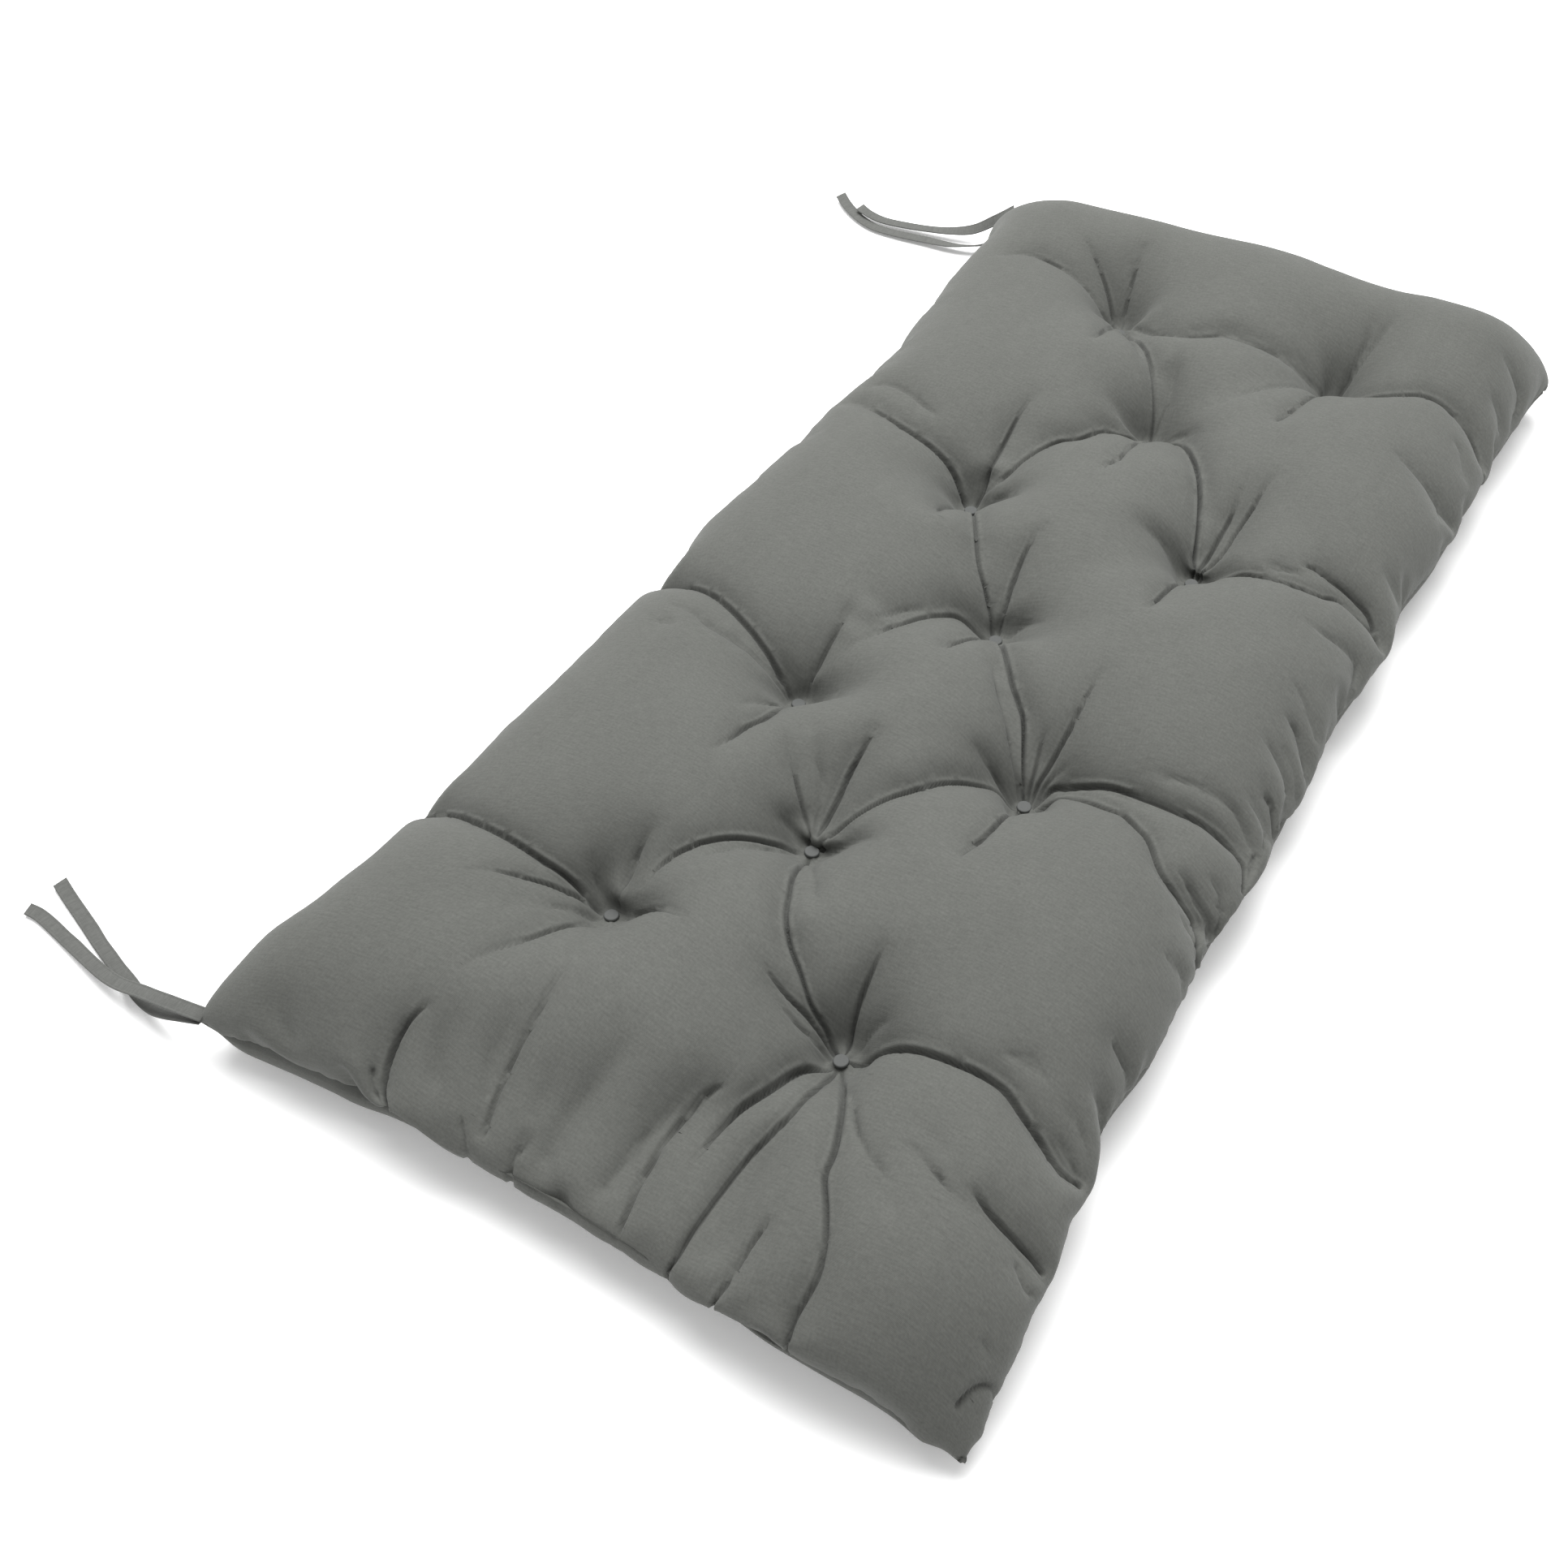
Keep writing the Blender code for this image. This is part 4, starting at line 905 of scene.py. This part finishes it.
def resampled(a, n, m):
    """A 3 x . x . grid read at n by m cells, smoothly."""

    def one_way(arr, count, axis):
        last = arr.shape[axis] - 1
        t = np.linspace(0, last, count + 1)
        i = np.minimum(t.astype(int), last - 1)
        f = (t - i).reshape([-1 if k == axis else 1 for k in range(3)])
        p = [np.take(arr, np.clip(i + k, 0, last), axis=axis) for k in (-1, 0, 1, 2)]
        return 0.5 * (
            2 * p[1] + (p[2] - p[0]) * f + (2 * p[0] - 5 * p[1] + 4 * p[2] - p[3]) * f * f + (3 * p[1] - p[0] - 3 * p[2] + p[3]) * f**3
        )

    return one_way(one_way(a, n, 1), m, 2)


def soft_noise(flat_x, flat_y, cell, seed):
    """Smooth noise over the flat cloth, about 1 high, with features of about that size."""
    rng = np.random.default_rng(seed)
    n, m = (max(3, int((f[-1] - f[0]) / cell) + 3) for f in (flat_x, flat_y))
    return resampled(rng.standard_normal((1, n, m)), len(flat_x) - 1, len(flat_y) - 1)[0]


def held_points(p, radius, z):
    """The cloth held at each tuft: grid indices and the places that they are held at."""
    ii, jj, at = [], [], []
    for _, _, _, tx, ty in TUFTS:
        away = np.hypot(p[0] - tx, p[1] - ty)
        i, j = np.nonzero(away <= max(radius, away.min() + 1e-6))
        ii.append(i)
        jj.append(j)
        at.append(np.stack([p[0][i, j], p[1][i, j], np.full(len(i), z)]))
    return np.concatenate(ii), np.concatenate(jj), np.concatenate(at, 1).astype(np.float32)


def settle(levels, tell=print):
    top = under = None
    for n, m, steps, bend in levels:
        lines_x, flat_x = ellipse_lines(LENGTH, ROUND_END, CROWN_Z - SEAM_Z, n)
        lines_y, flat_y = ellipse_lines(WIDTH, ROUND_SIDE, CROWN_Z - SEAM_Z, m)
        cell = flat_x[1] - flat_x[0]
        grooves = groove_field(0.62 * cell)
        shape, shape_under, plain = start_shape(lines_x, lines_y, grooves)
        shape_under = shape_under[:, ::2, ::2]
        if top is None:
            top, under = shape.copy(), shape_under.copy()
        else:
            top, under = resampled(top, n, m), resampled(under, n // 2, m // 2)
        top, under = np.ascontiguousarray(top, np.float32), np.ascontiguousarray(under, np.float32)

        # how much cloth there is
        d_end, d_side = flat_x[-1] - np.abs(flat_x), flat_y[-1] - np.abs(flat_y)
        by_side = np.exp(-((d_side / GATHER_REACH) ** 2)) * np.clip(d_side / 0.008, 0.1, 1)
        by_end = np.exp(-((d_end / GATHER_REACH) ** 2)) * np.clip(d_end / 0.008, 0.1, 1)
        spare_x = 1 + EASE + GATHER_SIDE * by_side[None, :] + 0.004 * soft_noise(flat_x, flat_y, 0.05, 7)
        spare_y = 1 + EASE + GATHER_END * by_end[:, None] + 0.004 * soft_noise(flat_x, flat_y, 0.05, 8)
        spare = 0.5 * (spare_x + spare_y)
        rest_x = lengths(shape, 1, 0) * 0.5 * (spare_x[1:] + spare_x[:-1])
        rest_y = lengths(shape, 0, 1) * 0.5 * (spare_y[:, 1:] + spare_y[:, :-1])
        middle = 0.25 * (spare[1:, 1:] + spare[1:, :-1] + spare[:-1, 1:] + spare[:-1, :-1])
        rest_up, rest_down = lengths(shape, 1, 1) * middle, lengths(shape, 1, -1) * middle
        threads, diagonals = cloth_links(top, rest_x, rest_y, rest_up, rest_down, SQUEEZE)
        su = shape_under
        threads_u, diagonals_u = cloth_links(
            under, lengths(su, 1, 0) * 1.006, lengths(su, 0, 1) * 1.006, lengths(su, 1, 1) * 1.006, lengths(su, 1, -1) * 1.006, 0.5
        )
        ti, tj, t_at = held_points(shape, TUFT_HELD, TUFT_TOP_Z)
        ui, uj, u_at = held_points(shape_under, 0.0060, TUFT_UNDER_Z)
        lump = (1 + 0.16 * soft_noise(flat_x, flat_y, 0.075, 3) + 0.10 * soft_noise(flat_x, flat_y, 0.04, 4))[1:-1, 1:-1]
        goal = (plain + 0.004)[1:-1, 1:-1].astype(np.float32)
        seams = {k: shape[:, 0, :] if k == "near" else shape[:, -1, :] if k == "far" else shape[:, :, -1] if k == "tied" else shape[:, :, 0] for k in INSET}
        seams = {k: v.astype(np.float32) for k, v in seams.items()}
        push = np.float32(PRESSURE * cell * cell)
        guide = np.float32(min(0.3, 400 * push))
        speed, speed_u = np.zeros_like(top), np.zeros_like(under)
        before, before_u, work, work_u = top.copy(), under.copy(), top.copy(), under.copy()
        along_x = np.array([0, 1, 1], np.float32)[:, None]
        along_y = np.array([1, 0, 1], np.float32)[:, None]
        for k in range(steps):
            if k % 8 == 0:
                pull = grooves.read(top[0, 1:-1, 1:-1], top[1, 1:-1, 1:-1]) * CREASE_PULL * push
                pull *= np.clip((top[2, 1:-1, 1:-1] - TUFT_TOP_Z) / 0.012, 0, 1)
            ease_in = min(1.0, (k + 1) / (0.25 * steps))
            filled = np.clip((goal - top[2, 1:-1, 1:-1]) / 0.020, -0.5, 1.0) * push * lump
            speed[:, 1:-1, 1:-1] += grid_normals(top) * filled
            speed[2, 1:-1, 1:-1] -= pull * ease_in + 0.05 * push
            speed_u[:, 1:-1, 1:-1] -= grid_normals(under) * (push * 0.8)
            speed *= DAMPING
            speed_u *= DAMPING
            before[:] = top
            before_u[:] = under
            top += speed
            under += speed_u
            top[:, 0, 1:-1] += guide * (seams["near"][:, 1:-1] - top[:, 0, 1:-1]) * along_y
            top[:, -1, 1:-1] += guide * (seams["far"][:, 1:-1] - top[:, -1, 1:-1]) * along_y
            top[:, 1:-1, 0] += guide * (seams["open"][:, 1:-1] - top[:, 1:-1, 0]) * along_x
            top[:, 1:-1, -1] += guide * (seams["tied"][:, 1:-1] - top[:, 1:-1, -1]) * along_x
            for family in threads:
                family.relax()
            for pair in [diagonals[k & 3]] if n > 100 else diagonals:
                pair[0].relax()
                pair[1].relax()
            resist_bending(top, bend, work)
            for i in (0, -1):
                under[:, i, :] = top[:, i, ::2]
            for j in (0, -1):
                under[:, :, j] = top[:, ::2, j]
            for family in threads_u:
                family.relax()
            for link in diagonals_u[k & 3]:
                link.relax()
            resist_bending(under, 0.1, work_u)
            for i in (0, -1):
                off = under[:, i, :] - top[:, i, ::2]
                top[:, i, ::2] += 0.5 * off
                top[:, i, 1::2] += 0.25 * (off[:, 1:] + off[:, :-1])
            for j in (0, -1):
                off = under[:, :, j] - top[:, ::2, j]
                top[:, ::2, j] += 0.5 * off
                top[:, 1::2, j] += 0.25 * (off[:, 1:] + off[:, :-1])
            np.maximum(under[2], 0, out=under[2])
            np.maximum(top[2], 0.001, out=top[2])
            top[:, ti, tj] = t_at
            under[:, ui, uj] = u_at
            for i in (0, -1):
                for j in (0, -1):
                    top[:, i, j] = shape[:, i, j]
                    under[:, i, j] = shape[:, i, j]
            np.subtract(top, before, out=speed)
            np.subtract(under, before_u, out=speed_u)
            on_floor = under[2] < 0.0004
            speed_u[0][on_floor] *= 0.5
            speed_u[1][on_floor] *= 0.5
        for i in (0, -1):
            under[:, i, :] = top[:, i, ::2]
        for j in (0, -1):
            under[:, :, j] = top[:, ::2, j]
        sx, sy = lengths(top, 1, 0) / rest_x, lengths(top, 0, 1) / rest_y
        tell(
            "cover %dx%d: threads at %.3f-%.3f and %.3f-%.3f of their length, top at %.4f m, still moving %.1e m a step"
            % (n, m, *np.percentile(sx, [2, 98]), *np.percentile(sy, [2, 98]), top[2].max(), np.abs(speed).max())
        )
    return top, under, flat_x, flat_y


FINER = 3


def with_folds(top, under, flat_x, flat_y):
    """The settled cover at three times the points each way, with the sharp folds pressed in."""
    n, m = FINER * (top.shape[1] - 1), FINER * (top.shape[2] - 1)
    fine = resampled(top, n, m)
    out = np.zeros_like(fine)
    out[2] = 1
    out[:, 1:-1, 1:-1] = grid_normals(fine)
    down, up, hollow = (f.read(fine[0], fine[1]) for f in fold_field())
    i, j = np.arange(n + 1)[:, None], np.arange(m + 1)[None, :]
    edge = np.minimum(np.minimum(i, n - i), np.minimum(j, m - j))
    near_tuft = np.full(fine.shape[1:], 1.0, np.float32)
    for x, y in TUFT_PLACES:
        np.minimum(near_tuft, np.hypot(fine[0] - x, fine[1] - y), out=near_tuft)
    down *= np.clip(edge / 5, 0, 1) * ramp_up((near_tuft - 0.0042) / 0.0035)
    up *= np.clip(edge / 9, 0, 1) * ramp_up((near_tuft - 0.010) / 0.014)
    hollow *= np.clip(edge / 12, 0, 1) * ramp_up((near_tuft - 0.0050) / 0.013)
    fine = fine - out * ((down - up * FOLD_RIDGE) * FOLD_DEPTH + hollow * HOLLOW_DEPTH)
    # the underside hangs out below the seam by the tied corner of the near end
    walked = np.concatenate([np.zeros((1, under.shape[2])), np.cumsum(lengths(under, 1, 0), 0)])
    from_tied = np.linspace(1, 0, under.shape[2])
    hanging = ramp_up((from_tied - 0.05) / 0.07) * ramp_up((0.32 - from_tied) / 0.08)
    under = under.copy()
    under[0] -= HANG * np.sin(np.pi * np.clip(walked / 0.034, 0, 1)) * hanging
    between = lambda v: np.interp(np.linspace(0, len(v) - 1, FINER * (len(v) - 1) + 1), np.arange(len(v)), v)
    return fine, under, between(flat_x), between(flat_y), down

# ---- the cover: mesh ----
SEAM_TUCK = 0.0012  # how far the stitched line sits in from the cloth on both sides of it


BLOCK = 8  # cells of the fine grid across one block of the mesh
FACES_FOR_TOP = 78500
FINEST_BLOCKS, FINE_BLOCKS = 700, 700


def block_levels(top, folds):
    """For each block of the top, how finely it is meshed: 0 to 3 halvings. The folds and the most bent blocks get the most."""
    n, m = ((k - 1) // BLOCK for k in top.shape[1:])

    def off_flat(step):
        """How far the points between are from where a mesh with that spacing would put them, block by block."""
        worst = np.zeros((n, m))
        h = step // 2
        mid_x = 0.5 * (top[:, :-step:step, ::h] + top[:, step::step, ::h]) - top[:, h::step, ::h]
        mid_y = 0.5 * (top[:, ::h, :-step:step] + top[:, ::h, step::step]) - top[:, ::h, h::step]
        for mid, across, down in ((mid_x, BLOCK // step, BLOCK // h), (mid_y, BLOCK // h, BLOCK // step)):
            d = np.sqrt((mid * mid).sum(0))[: n * across, : m * down]
            worst = np.maximum(worst, d.reshape(n, across, m, down).max((1, 3)))
        return worst

    spread_8, spread_4 = off_flat(8), off_flat(4)
    level = np.zeros((n, m), int)
    sharp = folds[: n * BLOCK, : m * BLOCK].reshape(n, BLOCK, m, BLOCK).max((1, 3))
    order = np.argsort(-(spread_4 * (0.3 + sharp)).ravel(), kind="stable")
    level.ravel()[order[:FINEST_BLOCKS]] = 3
    rest = np.where(level == 3, -1, spread_4)
    level.ravel()[np.argsort(-rest.ravel(), kind="stable")[:FINE_BLOCKS]] = 2

    def at_least(low, near):
        """Blocks beside those in near get at least that level."""
        grown = near.copy()
        for shift, axis in ((1, 0), (-1, 0), (1, 1), (-1, 1)):
            grown |= np.roll(near, shift, axis)
        level[grown & (level < low)] = low

    at_least(1, level >= 2)
    for border in (np.s_[:1], np.s_[-1:], np.s_[:, :1], np.s_[:, -1:]):
        level[border] = np.maximum(level[border], 2)  # the underside shares these points
    room = (FACES_FOR_TOP - sum((level == k).sum() * 4**k for k in range(4))) // 3
    order = np.argsort(-np.where(level == 0, spread_8, -1).ravel(), kind="stable")[: max(0, int(room))]
    level.ravel()[order] = np.maximum(level.ravel()[order], 1)
    return level


def cells_of(level):
    """Corner cells (i, j, size) on the fine grid for every block."""
    out = []
    for k in range(4):
        size = BLOCK >> k
        bi, bj = np.nonzero(level == k)
        for di in range(0, BLOCK, size):
            for dj in range(0, BLOCK, size):
                out.append(np.stack([bi * BLOCK + di, bj * BLOCK + dj, np.full(len(bi), size)], 1))
    return np.concatenate(out)


def cover_mesh(top, under, flat_x, flat_y, folds):
    """One closed mesh of the top, meshed block by block, and the underside, which takes the seam's points from the top."""
    n, m = top.shape[1] - 1, top.shape[2] - 1
    cells = cells_of(block_levels(top, folds))
    used = np.zeros((n + 1, m + 1), bool)
    for di, dj in ((0, 0), (1, 0), (1, 1), (0, 1)):
        used[cells[:, 0] + di * cells[:, 2], cells[:, 1] + dj * cells[:, 2]] = True
    index = np.full((n + 1, m + 1), -1)
    index[used] = np.arange(used.sum())
    fx, fy = np.meshgrid(flat_x, flat_y, indexing="ij")
    verts = top[:, used].T
    uv = np.stack([fx[used], fy[used]], -1)

    small = cells[cells[:, 2] == 1]
    i, j = small[:, 0], small[:, 1]
    faces = np.stack([index[i, j], index[i + 1, j], index[i + 1, j + 1], index[i, j + 1]], -1).tolist()
    for i, j, s in cells[cells[:, 2] > 1].tolist():
        ring = index[i : i + s, j].tolist() + index[i + s, j : j + s].tolist()
        ring += index[i + s : i : -1, j + s].tolist() + index[i, j + s : j : -1].tolist()
        faces.append([v for v in ring if v >= 0])

    # the underside: fine by the seam, coarse where it lies flat
    nu, mu = under.shape[1] - 1, under.shape[2] - 1
    share = n // nu
    level = np.zeros((nu // 2, mu // 2), int)
    level[:5], level[-5:], level[:, :5], level[:, -5:] = 1, 1, 1, 1
    for _, _, _, tx, ty in TUFTS:
        away = np.hypot(under[0] - tx, under[1] - ty)
        i, j = np.unravel_index(np.argmin(away), away.shape)
        level[max(0, i // 2 - 3) : i // 2 + 4, max(0, j // 2 - 3) : j // 2 + 4] = 1
    low = []
    for k, size in ((0, 2), (1, 1)):
        bi, bj = np.nonzero(level == k)
        for di in range(0, 2, size):
            for dj in range(0, 2, size):
                low.append(np.stack([bi * 2 + di, bj * 2 + dj, np.full(len(bi), size)], 1))
    low = np.concatenate(low)
    used_u = np.zeros((nu + 1, mu + 1), bool)
    for di, dj in ((0, 0), (1, 0), (1, 1), (0, 1)):
        used_u[low[:, 0] + di * low[:, 2], low[:, 1] + dj * low[:, 2]] = True
    inner = used_u.copy()
    inner[0], inner[-1], inner[:, 0], inner[:, -1] = False, False, False, False
    index_u = np.full((nu + 1, mu + 1), -1)
    index_u[inner] = np.arange(inner.sum()) + len(verts)
    gx, gy = fx[::share, ::share], fy[::share, ::share]
    verts = np.concatenate([verts, under[:, inner].T])
    uv = np.concatenate([uv, np.stack([gx[inner] + 2.0, gy[inner]], -1)])

    def side(i0, j0, i1, j1):
        """The points from one corner of a cell up to the next, the last left out."""
        on_seam = (i0 == i1 and i0 in (0, nu)) or (j0 == j1 and j0 in (0, mu))
        steps = max(abs(i1 - i0), abs(j1 - j0)) * (share if on_seam else 1)
        for k in range(steps):
            if on_seam:
                v = index[(i0 * (steps - k) + i1 * k) * share // steps, (j0 * (steps - k) + j1 * k) * share // steps]
            else:
                i, j = i0 + (i1 - i0) * k // steps, j0 + (j1 - j0) * k // steps
                v = index_u[i, j] if 0 < i < nu and 0 < j < mu else index[i * share, j * share]
            if v >= 0:
                yield int(v)

    for i, j, s in low.tolist():
        ring = [*side(i, j, i, j + s), *side(i, j + s, i + s, j + s), *side(i + s, j + s, i + s, j), *side(i + s, j, i, j)]
        faces.append(ring)
    return verts, faces, uv, index


def rim_indices(n, m):
    """Grid indices of the seam, once round."""
    ring = [(i, 0) for i in range(n)] + [(n, j) for j in range(m)]
    ring += [(i, m) for i in range(n, 0, -1)] + [(0, j) for j in range(m, 0, -1)]
    return np.array(ring)


def build_cover():
    levels = (((192, 96, 300, 0.10), GRID + (400, 0.04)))
    top, under, flat_x, flat_y, folds = with_folds(*settle(levels))
    n, m = top.shape[1] - 1, top.shape[2] - 1
    ring = rim_indices(n, m)
    rim = top[:, ring[:, 0], ring[:, 1]].T.astype(float)
    along = np.roll(rim, -1, 0) - np.roll(rim, 1, 0)
    inward = np.stack([-along[:, 1], along[:, 0], np.zeros(len(along))], 1)
    inward /= np.linalg.norm(inward, axis=1)[:, None]
    ease = np.ones(len(ring))
    corner = np.isin(ring[:, 0], (0, n)) & np.isin(ring[:, 1], (0, m))
    ease[corner] = 0
    top[:, ring[:, 0], ring[:, 1]] += (inward * (SEAM_TUCK * ease)[:, None]).T.astype(np.float32)
    verts, faces, uv, index = cover_mesh(top, under, flat_x, flat_y, folds)
    print("cover: %d points, %d faces, %d triangles" % (len(verts), len(faces), sum(len(f) - 2 for f in faces)))
    cover = mesh_object("cover", verts, faces, COVER_CLOTH, uv)
    mesh = cover.data
    mesh.shade_smooth()
    # painted shade: the fold depths go into the cover's "fold" attribute, which darkens the cloth's colour along the
    # bottom of each fold
    dark = np.zeros(len(verts), np.float32)
    dark[index[index >= 0]] = folds[index >= 0]
    mesh.attributes.new("fold", "FLOAT", "POINT").data.foreach_set("value", dark)
    on_rim = np.zeros(len(verts), bool)
    rim_index = index[ring[:, 0], ring[:, 1]]
    on_rim[rim_index[rim_index >= 0]] = True
    ends = np.zeros(len(mesh.edges) * 2, np.int32)
    mesh.edges.foreach_get("vertices", ends)
    sharp = on_rim[ends.reshape(-1, 2)].all(1)
    layer = mesh.attributes.new("sharp_edge", "BOOLEAN", "EDGE")
    layer.data.foreach_set("value", sharp)
    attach(cover, "root")
    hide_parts("cushion")
    return cover, top, rim, inward


COVER, COVER_TOP, RIM, RIM_INWARD = build_cover()

# ---- the seam's stitches ----
STITCH_PITCH, STITCH_LENGTH, STITCH_RADIUS = 0.0034, 0.0024, 0.00032


def build_stitches():
    """Small stitches that show in the groove of the seam, all round."""
    closed = np.concatenate([RIM, RIM[:1]])
    inward = np.concatenate([RIM_INWARD, RIM_INWARD[:1]])
    walked = np.concatenate([[0], np.cumsum(np.linalg.norm(np.diff(closed, axis=0), axis=1))])
    count = int(walked[-1] / STITCH_PITCH)
    verts, faces = [], []
    sides = 6
    for k in range(count):
        middle = (k + 0.5) * walked[-1] / count
        ends = []
        for at in (middle - STITCH_LENGTH / 2, middle, middle + STITCH_LENGTH / 2):
            p = np.array([np.interp(at, walked, closed[:, c]) for c in range(3)])
            q = np.array([np.interp(at, walked, inward[:, c]) for c in range(3)])
            ends.append(p + q * (SEAM_TUCK - 0.00015))
        a, mid, b = ends
        mid = mid - q * 0.00012
        direction = b - a
        direction /= np.linalg.norm(direction)
        u = np.cross(direction, (0.0, 0.0, 1.0))
        u /= np.linalg.norm(u)
        v = np.cross(u, direction)
        first = len(verts)
        verts.append(a)
        for centre, r in ((a * 0.8 + mid * 0.2, 0.8), (mid, 1.0), (b * 0.8 + mid * 0.2, 0.8)):
            for s in range(sides):
                t = 2 * math.pi * s / sides
                verts.append(centre + (u * math.cos(t) + v * math.sin(t)) * STITCH_RADIUS * r)
        verts.append(b)
        last = len(verts) - 1
        for s in range(sides):
            t = (s + 1) % sides
            faces.append((first, first + 1 + t, first + 1 + s))
            for ring in range(2):
                base = first + 1 + ring * sides
                faces.append((base + s, base + t, base + sides + t, base + sides + s))
            faces.append((last, last - sides + s, last - sides + t))
    stitches = mesh_object("seam_stitches", verts, faces, THREAD)
    stitches.data.shade_smooth()
    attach(stitches, "root")
    return stitches


build_stitches()

# ---- buttons ----
BUTTON_RADIUS, BUTTON_THICKNESS = 0.0048, 0.0026
BUTTON_Z = TUFT_TOP_Z - 0.0017
BUTTON_SECTION = (  # share of the radius, share of the thickness: a flat base, a rounded rim and a nearly flat face
    (0.60, 0.00),
    (0.86, 0.04),
    (0.97, 0.22),
    (1.00, 0.45),
    (0.985, 0.68),
    (0.95, 0.86),
    (0.89, 0.97),
    (0.80, 1.00),
    (0.60, 0.99),
    (0.40, 0.97),
    (0.20, 0.96),
)


def build_button(name, x, y, seed):
    rng = np.random.default_rng(seed)
    tilt = Matrix.Rotation(math.radians(rng.uniform(-4, 4)), 3, "X") @ Matrix.Rotation(math.radians(rng.uniform(-4, 4)), 3, "Y")
    spin = rng.uniform(0, math.pi)
    segments = 40
    verts, faces = [(0.0, 0.0, 0.0)], []
    for radius, height in BUTTON_SECTION:
        for s in range(segments):
            t = 2 * math.pi * s / segments + spin
            verts.append((BUTTON_RADIUS * radius * math.cos(t), BUTTON_RADIUS * radius * math.sin(t), BUTTON_THICKNESS * height))
    verts.append((0.0, 0.0, BUTTON_THICKNESS * 0.96))
    for s in range(segments):
        t = (s + 1) % segments
        faces.append((0, 1 + t, 1 + s))
        for ring in range(len(BUTTON_SECTION) - 1):
            base = 1 + ring * segments
            faces.append((base + s, base + t, base + segments + t, base + segments + s))
        faces.append((len(verts) - 1, len(verts) - 1 - segments + s, len(verts) - 1 - segments + t))
    button = mesh_object("knob_" + name, [tilt @ Vector(v) for v in verts], faces, BUTTON_FACE)
    button.data.shade_smooth()
    button.location = (x, y, BUTTON_Z)
    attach(button, "root")
    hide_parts("button_" + name)
    return button


for k, (tuft, _, _, tuft_x, tuft_y) in enumerate(TUFTS):
    build_button(tuft, tuft_x, tuft_y, 11 + k)

# ---- floor, light and view ----
FLOOR_WHITE = (0.92, 0.92, 0.92, 1.0)


def build_floor():
    floor = mesh_object("floor", [(-5, -5, -0.0004), (5, -5, -0.0004), (5, 5, -0.0004), (-5, 5, -0.0004)], [(0, 1, 2, 3)], bpy.data.materials.new("floor"))
    mat = floor.data.materials[0]
    mat.use_nodes = True
    shader = mat.node_tree.nodes["Principled BSDF"]
    shader.inputs["Base Color"].default_value = FLOOR_WHITE
    shader.inputs["Roughness"].default_value = 0.9
    shader.inputs["Emission Color"].default_value = (1.0, 1.0, 1.0, 1.0)
    shader.inputs["Emission Strength"].default_value = 0.17


def build_light(name, at, aim, size, power):
    data = bpy.data.lights.new(name, "AREA")
    data.shape = "RECTANGLE"
    data.size, data.size_y = size
    data.energy = power
    light = bpy.data.objects.new(name, data)
    light.location = at
    light.rotation_euler = (Vector(aim) - Vector(at)).to_track_quat("-Z", "Y").to_euler()
    bpy.context.scene.collection.objects.link(light)


build_floor()
build_light("key", (0.72, 0.48, 2.6), (0, 0, 0), (2.5, 2.5), 149)
world = bpy.data.worlds.new("studio")
bpy.context.scene.world = world
world.use_nodes = True
world.node_tree.nodes["Background"].inputs["Color"].default_value = (1.0, 1.0, 1.0, 1.0)
world.node_tree.nodes["Background"].inputs["Strength"].default_value = 0.64
bpy.context.scene.view_settings.view_transform = "Standard"
bpy.context.scene.view_settings.look = "None"

bpy.context.view_layer.update()
